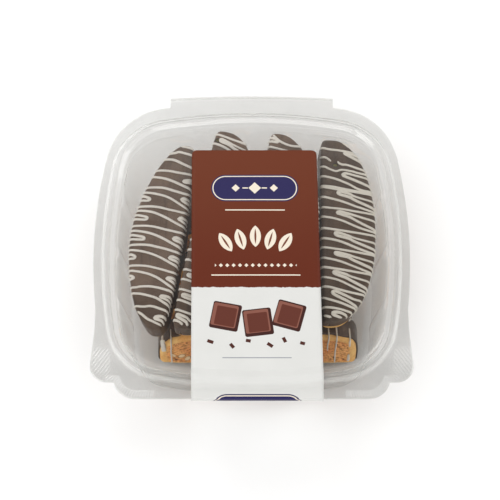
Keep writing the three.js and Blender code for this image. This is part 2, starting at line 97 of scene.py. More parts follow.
UPPER = [
    dict(x=-52.7, y=11, turn=-8.4, lean=-7, length=115.4, width=29.1, bottom=31.2, dome=1.7, flat=4,
         skirt=0.76, foot=0.26, mirrored=True),
    dict(x=-17, y=11, turn=-10.9, lean=0, length=124.8, width=31.6, bottom=36.7, dome=2.2, flat=6,
         skirt=0.62),
    dict(x=21.7, y=11.6, turn=-4.4, lean=0, length=121, width=31.2, bottom=36.7, dome=2, flat=6, skirt=0.72),
    dict(x=54.2, y=13.7, turn=-0.6, lean=7, length=112.8, width=29.4, bottom=32.7, dome=2.1, flat=9,
         skirt=0.55, thick=0.9),
]
LOWER_LEAN = 10.0
LOWER_FOOT = -53.2
LOWER_PITCH = 22.0
LOWER = [
    dict(x=3.5, length=113.7, width=31.2, dome=4.3, dome_start=3.3, flat=6, skirt=0.86),
    dict(x=0.4, length=115.0, width=31.0, dome=1.9, flat=6, skirt=0.9),
    dict(x=1.8, length=118.0, width=31.3, dome=2.0, flat=6, skirt=0.88),
    dict(x=-0.6, length=114.0, width=31.1, dome=1.9, flat=6, skirt=0.9),
]

# ---- Noise -----------------------------------------------------------------------------------------


def lattice(cell, seed):
    """A number from 0 to 1 for each integer point."""
    c = cell.astype(np.uint32)
    h = c[..., 0] * np.uint32(73856093) ^ c[..., 1] * np.uint32(19349663)
    h = h ^ c[..., 2] * np.uint32(83492791) ^ np.uint32(seed * 7919 + 101)
    h = (h ^ (h >> np.uint32(13))) * np.uint32(1274126177)
    h = (h ^ (h >> np.uint32(16))) * np.uint32(2246822519)
    return ((h >> np.uint32(8)) & np.uint32(0xFFFFFF)) / float(0xFFFFFF)


def value_noise(points, size, seed):
    """Smooth noise from -1 to 1 with features of about `size`."""
    q = np.asarray(points, float) / size + 1000.0
    cell = np.floor(q).astype(np.int64)
    f = q - cell
    f = f * f * (3 - 2 * f)
    total = 0.0
    for corner in itertools.product((0, 1), repeat=3):
        x, y, z = (f[..., k] if corner[k] else 1 - f[..., k] for k in range(3))
        total = total + x * y * z * lattice(cell + corner, seed)
    return 2 * total - 1


def pores(points, size, radius, share, seed):
    """From 0 outside to 1 in the middle of round pores, one at most in each cell of `size`."""
    q = np.asarray(points, float) / size + 1000.0
    cell = np.floor(q).astype(np.int64)
    deepest = np.zeros(len(q))
    for step in itertools.product((-1, 0, 1), repeat=3):
        near = cell + step
        spot = near + np.stack([lattice(near, seed + k) for k in (1, 2, 3)], -1)
        reach = radius / size * (0.45 + 0.55 * lattice(near, seed + 4))
        away = np.linalg.norm(q - spot, axis=-1)
        depth = np.clip(1 - away / reach, 0, 1) * (lattice(near, seed + 5) < share)
        deepest = np.maximum(deepest, depth)
    return deepest


def smooth(value):
    """An even step from 0 to 1 with soft ends."""
    value = np.clip(value, 0, 1)
    return value * value * (3 - 2 * value)


# ---- Meshes ----------------------------------------------------------------------------------------


def mesh_piece(name, points, faces, material, slot, nodes, attributes=None, uv=None):
    """A piece from points in millimetres that rides on the pack and stands for CAD nodes."""
    mesh = bpy.data.meshes.new(name)
    mesh.from_pydata((np.asarray(points, float) * MM).tolist(), [], faces)
    mesh.polygons.foreach_set("use_smooth", [True] * len(mesh.polygons))
    for key, values in (attributes or {}).items():
        layer = mesh.attributes.new(key, "FLOAT", "POINT")
        layer.data.foreach_set("value", np.asarray(values, np.float32))
    if uv is not None:
        corners = np.zeros(len(mesh.loops), np.int32)
        mesh.loops.foreach_get("vertex_index", corners)
        layer = mesh.uv_layers.new(name="print")
        layer.data.foreach_set("uv", np.asarray(uv, np.float32)[corners].ravel())
    mesh.materials.append(material)
    mesh.update()
    piece = bpy.data.objects.new(name, mesh)
    bpy.context.scene.collection.objects.link(piece)
    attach(piece, "root")
    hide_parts(*nodes)


def numbered(rings):
    """Each point's number in rings of points, and the number of the next one round its ring."""
    index = np.arange(rings.shape[0] * rings.shape[1]).reshape(rings.shape[:2])
    return index, np.roll(index, -1, axis=1)


def ribbons(index, ahead):
    """Quads that join each ring to the next."""
    return np.stack([index[:-1], ahead[:-1], ahead[1:], index[1:]], -1).reshape(-1, 4)


def looks_in(points, quads):
    """Whether the quads of a closed body look inwards."""
    a, b, c, d = (points[quads[:, k]] for k in range(4))
    return np.einsum("ij,ij->", a, np.cross(b, c) + np.cross(c, d)) < 0


def loft(rings, start=0):
    """Faces of a closed body from rings of points, each joined to the next, with a fan at each end.
    Returns the points and the faces, which look outwards."""
    index, ahead = numbered(rings)
    points = np.concatenate([rings.reshape(-1, 3), rings[0].mean(0)[None], rings[-1].mean(0)[None]])
    quads = ribbons(index, ahead)
    first, last = index.size, index.size + 1
    caps = [[first, int(b), int(a)] for a, b in zip(index[0], ahead[0])]
    caps += [[last, int(a), int(b)] for a, b in zip(index[-1], ahead[-1])]
    faces = quads.tolist() + caps
    if looks_in(points, quads):
        faces = [face[::-1] for face in faces]
    return points, [[k + start for k in face] for face in faces]


def joined(bodies):
    """Several closed bodies as one set of points and faces."""
    points, faces = [], []
    count = 0
    for rings in bodies:
        p, f = loft(rings, count)
        points.append(p)
        faces += f
        count += len(p)
    return np.concatenate(points), faces


def unit(vectors):
    """Vectors at length 1."""
    return vectors / np.maximum(np.linalg.norm(vectors, axis=-1, keepdims=True), 1e-9)


def ring_normals(rings):
    """Normals of a closed body at the points of its rings, all looking outwards."""
    around = np.roll(rings, -1, axis=1) - np.roll(rings, 1, axis=1)
    along = np.gradient(rings, axis=0)
    normal = unit(np.cross(around, along))
    outward = rings - rings.reshape(-1, 3).mean(0)
    return normal * np.sign(np.sum(normal * outward))


def filleted(corners, radii, steps=5, spacing=2.0):
    """A line of points through corners, each rounded by its radius."""
    corners = np.asarray(corners, float)
    line = [corners[0]]
    for before, here, after, radius in zip(corners, corners[1:], corners[2:], radii):
        into, out = before - here, after - here
        a, b = np.linalg.norm(into), np.linalg.norm(out)
        into, out = into / a, out / b
        half = math.acos(np.clip(np.dot(into, out), -1, 1)) / 2
        reach = min(radius / max(math.tan(half), 1e-6), 0.45 * a, 0.45 * b)
        start, end = here + into * reach, here + out * reach
        for k in range(steps + 1):
            t = k / steps
            line.append((1 - t) ** 2 * start + 2 * t * (1 - t) * here + t * t * end)
    line.append(corners[-1])
    dense = [line[0]]
    for point in line[1:]:
        gap = np.linalg.norm(point - dense[-1])
        for k in range(1, int(gap / spacing) + 1):
            dense.append(dense[-1] + (point - dense[-1]) / (int(gap / spacing) + 2 - k))
        dense.append(point)
    return np.array(dense)


# ---- Materials -------------------------------------------------------------------------------------


class Shader:
    """A procedural material, built node by node. A value that is a socket is linked."""

    def __init__(self, name):
        self.material = bpy.data.materials.new(name)
        self.material.use_nodes = True
        self.tree = self.material.node_tree
        self.tree.nodes.clear()

    def node(self, kind, inputs=None, **settings):
        node = self.tree.nodes.new("ShaderNode" + kind)
        for key, value in settings.items():
            setattr(node, key, value)
        for key, value in (inputs or {}).items():
            if isinstance(value, bpy.types.NodeSocket):
                self.tree.links.new(value, node.inputs[key])
            else:
                node.inputs[key].default_value = value
        return node

    def surface(self, socket):
        self.node("OutputMaterial", {"Surface": socket})
        return self.material

    def place(self):
        return self.node("TexCoord").outputs["Object"]

    def noise(self, vector, scale, detail=3.0, rough=0.55):
        inputs = {"Vector": vector, "Scale": scale, "Detail": detail, "Roughness": rough}
        return self.node("TexNoise", inputs).outputs["Fac"]

    def math(self, operation, *values):
        return self.node("Math", dict(enumerate(values)), operation=operation).outputs[0]

    def span(self, value, low, high, to_low=0.0, to_high=1.0, kind="SMOOTHSTEP"):
        inputs = {"Value": value, "From Min": low, "From Max": high, "To Min": to_low, "To Max": to_high}
        return self.node("MapRange", inputs, interpolation_type=kind).outputs["Result"]

    def mix(self, share, a, b):
        node = self.node("Mix", {"Factor": share}, data_type="RGBA")
        for socket, value in ((node.inputs[6], a), (node.inputs[7], b)):
            if isinstance(value, bpy.types.NodeSocket):
                self.tree.links.new(value, socket)
            else:
                socket.default_value = (*value, 1.0)
        return node.outputs[2]

    def attribute(self, name):
        return self.node("Attribute", attribute_name=name).outputs["Fac"]

    def bump(self, height, strength, distance):
        inputs = {"Height": height, "Strength": strength, "Distance": distance}
        return self.node("Bump", inputs).outputs["Normal"]

    def principled(self, colour, roughness, normal=None, **constants):
        inputs = {"Base Color": colour, "Roughness": roughness}
        if normal is not None:
            inputs["Normal"] = normal
        inputs.update({key.replace("_", " "): value for key, value in constants.items()})
        return self.node("BsdfPrincipled", inputs).outputs["BSDF"]


def clear_plastic():
    """An open sheet. The slant of the view makes it shinier and hazier. Its tint is partly the plastic's own
    and partly painted shade for the pack's shadow below it, darker still inside the wall.
    """
    s = Shader("clear_plastic")
    place = s.place()
    ripple = s.bump(s.noise(place, 42.0, 2.0), 0.25, 0.0012)
    # Painted shade: the tint darkens what is seen through the sheet in place of the pack's shadow, more
    # inside the wall.
    tint = s.mix(s.attribute("inner"), (0.885, 0.886, 0.879), (0.815, 0.815, 0.807))
    clear = s.node("BsdfTransparent", {"Color": tint}).outputs[0]
    gloss = s.node(
        "BsdfGlossy", {"Color": (1.0, 1.0, 1.0, 1.0), "Roughness": 0.06, "Normal": ripple}
    ).outputs[0]
    haze = s.node("BsdfDiffuse", {"Color": (0.93, 0.93, 0.91, 1.0)}).outputs[0]
    slant = s.node("LayerWeight", {"Blend": 0.5, "Normal": ripple}).outputs["Facing"]
    edge = s.math("POWER", slant, 4.3)
    shine = s.span(edge, 0.0, 1.0, 0.07, 0.55, "LINEAR")
    hazy = s.span(s.math("POWER", slant, 2.0), 0.0, 1.0, 0.006, 0.30, "LINEAR")
    hazy = s.math("ADD", hazy, s.math("MULTIPLY", s.attribute("fine"), 0.22))
    glassy = s.node("MixShader", {0: shine, 1: clear, 2: gloss}).outputs[0]
    seen = s.node("MixShader", {0: hazy, 1: glassy, 2: haze}).outputs[0]
    # Light reaches what is inside almost unchanged, because rays towards a lamp see a clear sheet.
    lit = s.node("BsdfTransparent", {"Color": (0.975, 0.975, 0.972, 1.0)}).outputs[0]
    shadow = s.node("LightPath").outputs["Is Shadow Ray"]
    return s.surface(s.node("MixShader", {0: shadow, 1: seen, 2: lit}).outputs[0])


def dark_chocolate():
    s = Shader("dark_chocolate")
    place = s.place()
    cloud = s.noise(place, 70.0, 4.0)
    smear = s.noise(place, 260.0, 3.0)
    # Dark and pale chocolate, mixed by tone: partly lighter, bloomed chocolate and partly painted sheen and
    # light, darker towards the front of the pack.
    dark = s.mix(s.span(cloud, 0.35, 0.68), (0.050, 0.027, 0.014), (0.078, 0.044, 0.024))
    pale = s.mix(s.span(cloud, 0.35, 0.68), (0.120, 0.070, 0.044), (0.182, 0.116, 0.079))
    colour = s.mix(s.attribute("tone"), dark, pale)
    # Dark streaks along the pieces: painted shade and reflection.
    lines = s.node("Mapping", {"Vector": place, "Scale": (1.0, 0.12, 1.0)}).outputs[0]
    colour = s.mix(s.span(s.noise(lines, 240.0, 2.0), 0.5, 0.7, 0.0, 0.45), colour, (0.036, 0.019, 0.010))
    colour = s.mix(s.span(smear, 0.56, 0.75, 0.0, 0.4), colour, (0.178, 0.113, 0.078))
    spot = s.attribute("spot")
    # The outer part of a dimple is painted near black, painted shade in the dimple; its middle takes the
    # almond's olive colour.
    colour = s.mix(s.span(spot, 0.05, 0.45), colour, (0.016, 0.010, 0.005))
    colour = s.mix(s.span(spot, 0.55, 0.95), colour, (0.120, 0.095, 0.022))
    rough = s.span(cloud, 0.3, 0.7, 0.34, 0.5)
    normal = s.bump(s.noise(place, 420.0, 4.0), 0.35, 0.0004)
    return s.surface(s.principled(colour, rough, normal, Specular_IOR_Level=0.35))


def white_drizzle():
    s = Shader("white_drizzle")
    place = s.place()
    cloud = s.noise(place, 160.0, 3.0)
    plain = s.mix(cloud, (0.66, 0.60, 0.51), (0.78, 0.73, 0.65))
    # Tone makes the drizzle paler: painted light, brighter on the back pieces and darker towards the front.
    colour = s.mix(s.attribute("tone"), plain, s.mix(cloud, (0.74, 0.68, 0.61), (0.86, 0.81, 0.75)))
    rough = s.span(cloud, 0.3, 0.7, 0.38, 0.52)
    normal = s.bump(s.noise(place, 900.0, 2.0), 0.25, 0.0002)
    return s.surface(s.principled(colour, rough, normal))


def baked_dough():
    s = Shader("baked_dough")
    place = s.place()
    crumb = s.attribute("crumb")
    pit = s.attribute("pit")
    nut = s.attribute("nut")
    skin = s.attribute("skin")
    broad = s.noise(place, 90.0, 4.0)
    grain = s.noise(place, 750.0, 4.0, 0.65)
    crust = s.mix(s.span(broad, 0.3, 0.7), (0.84, 0.41, 0.105), (0.93, 0.57, 0.20))
    crust = s.mix(s.span(grain, 0.45, 0.7, 0.0, 0.35), crust, (0.50, 0.20, 0.05))
    inside = s.mix(s.span(broad, 0.3, 0.7), (0.93, 0.33, 0.085), (1.0, 0.50, 0.16))
    inside = s.mix(s.span(grain, 0.42, 0.66, 0.0, 0.75), inside, (0.36, 0.115, 0.03))
    colour = s.mix(crumb, crust, inside)
    # The pits are painted dark: painted shade in the pores.
    colour = s.mix(s.span(pit, 0.05, 0.6, 0.0, 0.9), colour, (0.11, 0.026, 0.006))
    colour = s.mix(skin, colour, (0.26, 0.10, 0.03))
    colour = s.mix(nut, colour, s.mix(grain, (0.84, 0.60, 0.34), (0.92, 0.72, 0.45)))
    height = s.math("MULTIPLY", grain, s.span(crumb, 0.0, 1.0, 0.35, 1.0))
    normal = s.bump(height, 0.7, 0.0006)
    return s.surface(s.principled(colour, s.span(grain, 0.3, 0.7, 0.72, 0.9), normal))


class Print(Shader):
    """Printed paper. Places are in millimetres: across the pack, and along the band from its back."""

    def __init__(self, name):
        super().__init__(name)
        uv = self.node("UVMap", uv_map="print").outputs["UV"]
        scaled = self.node("VectorMath", {0: uv}, operation="SCALE")
        scaled.inputs["Scale"].default_value = 100.0
        self.uv = scaled.outputs[0]

    def vector(self, operation, *values):
        return self.node("VectorMath", dict(enumerate(values)), operation=operation)

    def local(self, centre, turn, vector=None):
        """How far across and along a place is from a turned motif's middle."""
        inputs = {
            "Vector": self.uv if vector is None else vector,
            "Location": (*centre, 0.0),
            "Rotation": (0.0, 0.0, math.radians(turn)),
        }
        mapped = self.node("Mapping", inputs, vector_type="TEXTURE").outputs[0]
        return self.vector("ABSOLUTE", mapped).outputs[0]

    def within(self, off, radius):
        """1 where a vector is shorter than the radius, with a soft edge."""
        return self.span(self.vector("LENGTH", off).outputs["Value"], radius, radius + INK_EDGE, 1.0, 0.0)

    def box(self, centre, half, turn=0.0, corner=0.0, vector=None):
        inner = (half[0] - corner, half[1] - corner, 0.0)
        off = self.vector("SUBTRACT", self.local(centre, turn, vector), inner).outputs[0]
        return self.within(self.vector("MAXIMUM", off, (0, 0, 0)).outputs[0], corner)

    def almond(self, centre, half, turn):
        """The overlap of two round discs."""
        radius = (half[0] ** 2 + half[1] ** 2) / (2 * half[0])
        shift = (radius - half[0], 0.0, 0.0)
        return self.within(self.vector("ADD", self.local(centre, turn), shift).outputs[0], radius)

    def row(self, pitch):
        """The place with its across part folded into one repeat about zero."""
        split = self.node("SeparateXYZ", {0: self.uv}).outputs
        folded = self.math("WRAP", split[0], pitch / 2, -pitch / 2)
        return self.node("CombineXYZ", {0: folded, 1: split[1], 2: 0.0}).outputs[0]


INK_EDGE = 0.12  # width of a motif's soft edge
CREAM = (0.80, 0.72, 0.60)
NAVY = (0.022, 0.018, 0.085)
FIELD_END = 86.4  # where the brown field ends, along the band
BAND_MIDDLE = (BAND_LEFT + BAND_RIGHT) / 2


def printed_paper():
    """Brown over white with a rough border, and plain motifs laid on it one by one."""
    s = Print("printed_paper")
    along = s.node("SeparateXYZ", {0: s.uv}).outputs[1]
    wave = s.math("MULTIPLY", s.noise(s.uv, 0.35, 3.0), 1.6)
    white = s.mix(s.noise(s.uv, 0.06, 2.0), (0.65, 0.65, 0.63), (0.70, 0.70, 0.68))
    brown = s.mix(s.span(along, 0.0, FIELD_END), (0.140, 0.030, 0.010), (0.115, 0.017, 0.004))
    field = s.span(s.math("ADD", along, wave), FIELD_END + 0.7, FIELD_END + 0.95, 1.0, 0.0)
    colour = s.mix(field, white, brown)

    def lay(mask, ink):
        nonlocal colour
        colour = s.mix(mask, colour, ink)

    def plaque(middle):
        lay(s.box((BAND_MIDDLE, middle), (25.0, 8.4), corner=8.3), NAVY)
        lay(s.box((BAND_MIDDLE, middle), (24.3, 7.7), corner=7.6), CREAM)
        lay(s.box((BAND_MIDDLE, middle), (23.7, 7.1), corner=7.0), NAVY)
        for off, size in ((-11.0, 1.6), (0.0, 2.5), (11.0, 1.6)):
            lay(s.box((BAND_MIDDLE + off, middle), (size, size), turn=45.0), CREAM)
        for off in (-5.5, 5.5):
            lay(s.box((BAND_MIDDLE + off, middle), (1.5, 0.3)), CREAM)

    plaque(24.5)
    for middle, half in ((38.5, 17.0), (79.0, 25.0)):
        lay(s.box((BAND_MIDDLE, middle), (half, 0.28)), CREAM)
    for off, turn in ((-17.0, 32.0), (-8.5, 16.0), (0.0, 0.0), (8.5, -16.0), (17.0, -32.0)):
        drop = abs(off) * 0.22
        lay(s.almond((BAND_MIDDLE + off, 55.0 + drop), (3.1, 6.6), -turn), CREAM)
        lay(s.almond((BAND_MIDDLE + off, 55.0 + drop), (0.5, 4.6), -turn), (0.16, 0.046, 0.023))
    dots = s.math(
        "MULTIPLY",
        s.box((0.0, 73.0), (0.75, 0.75), turn=45.0, vector=s.row(3.6)),
        s.box((BAND_MIDDLE, 73.0), (23.0, 3.0)),
    )
    lay(dots, CREAM)
    blocks = ((-15.5, 104.0, 11.0), (2.5, 107.5, -7.0), (20.0, 103.5, 16.0))
    for across, middle, turn in blocks:
        lay(s.box((across, middle), (8.0, 8.0), turn, 1.2), (0.045, 0.011, 0.008))
        lay(s.box((across - 0.5, middle - 0.6), (6.9, 6.7), turn, 1.0), (0.23, 0.085, 0.06))
        lay(s.box((across, middle), (5.6, 5.6), turn, 0.6), (0.115, 0.028, 0.017))
    crumbs = ((-24, 119, 20), (-12, 121.5, 50), (-3, 118.5, 10), (9, 121, 35), (17, 118, 65), (27, 120, 15))
    for k, (across, middle, turn) in enumerate(crumbs):
        lay(s.box((across, middle), (1.7 - 0.2 * (k % 3), 0.9), turn), (0.07, 0.018, 0.012))
    lay(s.box((BAND_MIDDLE, 128.5), (19.0, 0.22)), (0.30, 0.31, 0.34))
    plaque(160.0)

    fibre = s.noise(s.uv, 2.5, 4.0, 0.6)
    normal = s.bump(fibre, 0.12, 0.0003)
    rough = s.span(fibre, 0.3, 0.7, 0.46, 0.56)
    return s.surface(s.principled(colour, rough, normal, Specular_IOR_Level=0.22))


def floor_surface():
    s = Shader("floor")
    tone = s.noise(s.place(), 3.0, 2.0)
    colour = s.mix(tone, (0.965, 0.965, 0.965), (0.975, 0.975, 0.975))
    return s.surface(s.principled(colour, 0.9, Specular_IOR_Level=0.1))


PLASTIC = clear_plastic()
CHOCOLATE = dark_chocolate()
DRIZZLE = white_drizzle()
DOUGH = baked_dough()
PAPER = printed_paper()

# ---- Plastic ---------------------------------------------------------------------------------------

SIDE_STATIONS = 72
BACK_CORNER_STATIONS = 30
FRONT_CORNER_STATIONS = 230
SIDE_CENTRE = RIM_HALF - SIDE_RADIUS
CORNER_REACH = SIDE_RADIUS - CORNER_RADIUS
CORNER_CENTRE = (SIDE_CENTRE + math.sqrt(2 * CORNER_REACH**2 - SIDE_CENTRE**2)) / 2
SIDE_HALF_ANGLE = math.atan2(CORNER_CENTRE, CORNER_CENTRE - SIDE_CENTRE)


def stations():
    """Points of the rim counter-clockwise from the right side, their normals and rib shares."""
    rim, normals, ribs = [], [], []

    def put(centre, angle, radius, axis, rib):
        normal = np.array([math.cos(angle), math.sin(angle)])
        point = centre + radius * normal
        turn = np.array([[math.cos(axis), -math.sin(axis)], [math.sin(axis), math.cos(axis)]])
        rim.append(turn @ point)
        normals.append(turn @ normal)
        ribs.append(rib)

    for side in range(4):
        axis = side * math.pi / 2
        reach = SIDE_RADIUS * math.sin(SIDE_HALF_ANGLE)
        along = list(np.linspace(-reach, reach, SIDE_STATIONS + 1))
        if side == 1:
            along = [d for d in along if abs(abs(d) - HINGE_HALF) > 0.6]
            along += [s * (HINGE_HALF + e) for s in (-1, 1) for e in (0.0, HINGE_STEP)]
            along.sort()
        for d in along:
            off = min(abs(d - place) for place in RIB_PLACES)
            rib = 1 - float(smooth((off - RIB_HALF_WIDTH) / RIB_SLOPE))
            put(np.array([SIDE_CENTRE, 0.0]), math.asin(d / SIDE_RADIUS), SIDE_RADIUS, axis, rib)
        steps = FRONT_CORNER_STATIONS if side >= 2 else BACK_CORNER_STATIONS
        for k in range(1, steps):
            turn = SIDE_HALF_ANGLE + k / steps * (math.pi / 2 - 2 * SIDE_HALF_ANGLE)
            put(np.array([CORNER_CENTRE, CORNER_CENTRE]), turn, CORNER_RADIUS, axis, 0.0)
    return np.array(rim), np.array(normals), np.array(ribs)


RIM, NORMAL, RIB = stations()


def mirrored(half):
    half = np.asarray(half, float)
    return np.concatenate([half, half[::-1] * (-1, 1)])


def front_corner(x, y, radius):
    angles = math.pi + np.linspace(0, math.pi / 2, 25)
    return [(x + radius * math.cos(a), y + radius * math.sin(a)) for a in angles]


SIDE_LOBES = mirrored(
    [(0, LOBE_START), (-LOBE_WAIST, LOBE_START), (-LOBE_WAIST, LOBE_START - LOBE_STRAIGHT)]
    + front_corner(LOBE_RADIUS - LOBE_SIDE, LOBE_FRONT + LOBE_RADIUS, LOBE_RADIUS)
    + [(0, LOBE_FRONT)]
)
FRONT_TAB = mirrored(
    [(0, 0), (-TAB_HALF, 0)]
    + front_corner(TAB_RADIUS - TAB_HALF, TAB_FRONT + TAB_RADIUS, TAB_RADIUS)
    + [(0, TAB_FRONT)]
)


def reach_of(point, normal, outline):
    """How far an outline lies beyond a point of the rim along its normal."""
    edge = np.roll(outline, -1, axis=0) - outline
    towards = outline - point
    cross = normal[0] * edge[:, 1] - normal[1] * edge[:, 0]
    cross = np.where(np.abs(cross) < 1e-9, 1e-9, cross)
    along = (towards[:, 0] * edge[:, 1] - towards[:, 1] * edge[:, 0]) / cross
    share = (towards[:, 0] * normal[1] - towards[:, 1] * normal[0]) / cross
    hit = along[(share >= 0) & (share <= 1) & (along > 0)]
    return hit.max() if len(hit) else 0.0


def flange_edge():
    """The edge of the flanges at each station: the rim, or the hinge tab, lobe or tab beyond it."""
    ends = RIM.copy()
    reach = np.zeros(len(RIM))
    for k, (point, normal) in enumerate(zip(RIM, NORMAL)):
        if point[1] > 0 and abs(point[0]) < HINGE_HALF + HINGE_STEP / 2:
            bow = math.sqrt(HINGE_RADIUS**2 - point[0] ** 2)
            ends[k] = (point[0], HINGE_BACK - HINGE_RADIUS + bow)
            continue
        reach[k] = max(reach_of(point, normal, SIDE_LOBES), reach_of(point, normal, FRONT_TAB))
        ends[k] = point + normal * reach[k]
        back = smooth((point[1] - BACK_REACH_FROM) / (BACK_REACH_TO - BACK_REACH_FROM))
        ends[k, 1] += BACK_REACH * back
    return ends, reach


EDGE, REACH = flange_edge()


def sheet(profile, core, ribbed):
    """Rings of a sheet of plastic from its profile: places outwards, heights and rib shares. Also
    how much of a fine rib of the flange each point carries, and how much it takes the darker inner tint,
    which is painted shade."""
    foot = RIM + NORMAL * (FOOT_HALF - RIM_HALF)
    heart = RIM + NORMAL * (core - RIM_HALF)

    def ring(place, height, rib):
        if place >= FOOT_HALF:
            share = (place - FOOT_HALF) / (RIM_HALF - FOOT_HALF)
            flat = foot + (EDGE - foot) * share
        elif place >= core:
            flat = RIM + NORMAL * (place - RIM_HALF - rib * RIB_DEPTH * RIB)[:, None]
        else:
            flat = heart * (place / core)
        return np.column_stack([flat, np.full(len(RIM), height)])

    rings = np.array([ring(*row) for row in profile])
    across = np.array([row[0] for row in profile])
    share = np.clip((across - FOOT_HALF) / (RIM_HALF - FOOT_HALF), 0, 1)
    fine = flange_ribs(rings, share[:, None]) * ribbed
    # The darker inner tint, painted shade, covers the inside of the wall and part of the front.
    front = 0.6 * (1 - smooth((rings[..., 1] + 76.0) / 12.0))
    inner = np.maximum((1 - smooth((across - 73.0) / 5.0))[:, None], front)
    rings[..., 2] += FINE_DEEP * fine
    wobble = value_noise(rings * (1, 1, 0.6), 26.0, 3) * 0.07
    fade = smooth((RIM_HALF - 1.0 - across) / 4.0)[:, None]
    steep = smooth(np.abs(np.gradient(rings[..., 2], axis=0)) / 1.0) * fade
    rings[..., :2] += NORMAL[None] * (wobble * steep)[..., None]
    rings[..., 2] += value_noise(rings * (1, 1, 0), 34.0, 5) * 0.10 * fade * (1 - steep)
    rings[..., 2] = np.maximum(rings[..., 2], 0.02)
    return rings, fine, inner


def disc(rings):
    """Points and faces of an open sheet of rings, closed in the middle by a fan."""
    index, ahead = numbered(rings)
    points = np.concatenate([rings.reshape(-1, 3), rings[0].mean(0)[None]])
    faces = np.stack([index[:-1], index[1:], ahead[1:], ahead[:-1]], -1).reshape(-1, 4).tolist()
    faces += [[index.size, int(a), int(b)] for a, b in zip(index[0], ahead[0])]
    return points, faces


ARC = np.concatenate([[0], np.cumsum(np.linalg.norm(np.diff(RIM, axis=0), axis=1))])
KNURL_PITCH = 1.25  # along the rim
HATCH_PITCH = 1.7
FINE_DEEP = 0.2


def flange_ribs(rings, share):
    """Short ribs along the edge of the front tab's round corners, and slanted ones on the lobes."""
    inset = (1 - share) * (REACH[None, :] + RIM_HALF - FOOT_HALF)
    x, y = np.abs(rings[..., 0]), rings[..., 1]
    edge = smooth((inset - 0.6) / 0.5) * (1 - smooth((inset - 4.4) / 0.8))
    tab = smooth((x - 50.0) / 3.0) * smooth((82.0 - x) / 3.0) * smooth((-75.0 - y) / 2.0)
    knurl = (0.5 + 0.5 * np.sin(2 * math.pi * ARC / KNURL_PITCH)[None, :]) * edge * tab
    slanted = 0.5 + 0.5 * np.sin(2 * math.pi * (x * 0.82 + y * 0.57) / HATCH_PITCH)
    zone = smooth((x - 77.0) / 2.0) * smooth((-60.0 - y) / 3.0) * smooth((y + 78.0) / 2.0)
    hatch = 0.6 * slanted * zone * smooth((inset - 0.8) / 0.8) * (share > 0.1)
    return np.maximum(knurl, hatch)


def flange_rows(height, count):
    """A flat flange whose edge turns down a little."""
    rows = [(h, height, 0.0) for h in np.linspace(FOOT_HALF, RIM_HALF - 0.25, count)]
    return rows + [(RIM_HALF - 0.05, height - 0.08, 0.0), (RIM_HALF, height - 0.4, 0.0)]


def make_tray():
    floor = 0.15
    corners = [
        (58.0, floor), (67.6, floor), (71.5, 4.0), (77.4, 48.6), (78.4, RIM_HEIGHT - 0.1),
        (80.6, RIM_HEIGHT), (81.6, RIM_HEIGHT + 3.6), (83.3, RIM_HEIGHT + 3.6), (84.3, RIM_HEIGHT),
        (FOOT_HALF, RIM_HEIGHT),
    ]
    line = filleted(corners, (3.4, 2.6, 3.0, 1.2, 0.6, 0.6, 0.6, 0.6), 4, 3.2)
    rib = [float(smooth((z - 3.0) / 5.0) * smooth((51.0 - z) / 5.0)) for _, z in line]
    middle = [(h, floor + 0.18 * math.exp(-(((h - 52.0) / 1.6) ** 2)), 0.0)
              for h in (2, 14, 28, 40, 47, 49, 50.5, 52, 53.5, 55, 56.5)]
    profile = middle + [(h, z, r) for (h, z), r in zip(line, rib)]
    profile += flange_rows(RIM_HEIGHT, 15)[1:]
    return sheet(profile, 58.0, 0.0)


def make_cover():
    panel, bead, flange = RIM_HEIGHT + PANEL_RISE, RIM_HEIGHT + BEAD_RISE, LID_LOW + SHEET
    corners = [
        (70.0, panel), (76.2, panel), (78.2, panel + 0.45), (80.5, bead), (84.0, bead),
        (85.3, flange), (FOOT_HALF + 0.2, flange),
    ]
    line = filleted(corners, (1.5, 1.5, 0.8, 0.8, 0.5), 5, 1.6)
    middle = [(h, panel, 0.0) for h in (2, 12, 24, 36, 48, 56, 62, 67)]
    profile = middle + [(h, z, 0.0) for h, z in line[:-1]]
    profile += flange_rows(flange, 30)
    return sheet(profile, 70.0, 1.0)


for name, (rings, fine, inner), node in (("tray", make_tray(), "base"), ("cover", make_cover(), "lid")):
    facts = dict(fine=np.append(fine.ravel(), 0.0), inner=np.append(inner.ravel(), 1.0))
    mesh_piece(name, *disc(rings), PLASTIC, "clear_plastic", [node], facts)
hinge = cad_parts["hinge"]
hinge.data.materials.clear()
hinge.data.materials.append(PLASTIC)

# ---- Paper band ------------------------------------------------------------------------------------

BAND_COLUMNS = 36
WALL_FOOT, WALL_TOP, WALL_FOOT_Z, WALL_TOP_Z = 71.8, 77.3, 6.0, 49.0


def front_of(half, x):
    radius = SIDE_RADIUS - (RIM_HALF - half)
    return -(half - radius + math.sqrt(radius * radius - x * x))


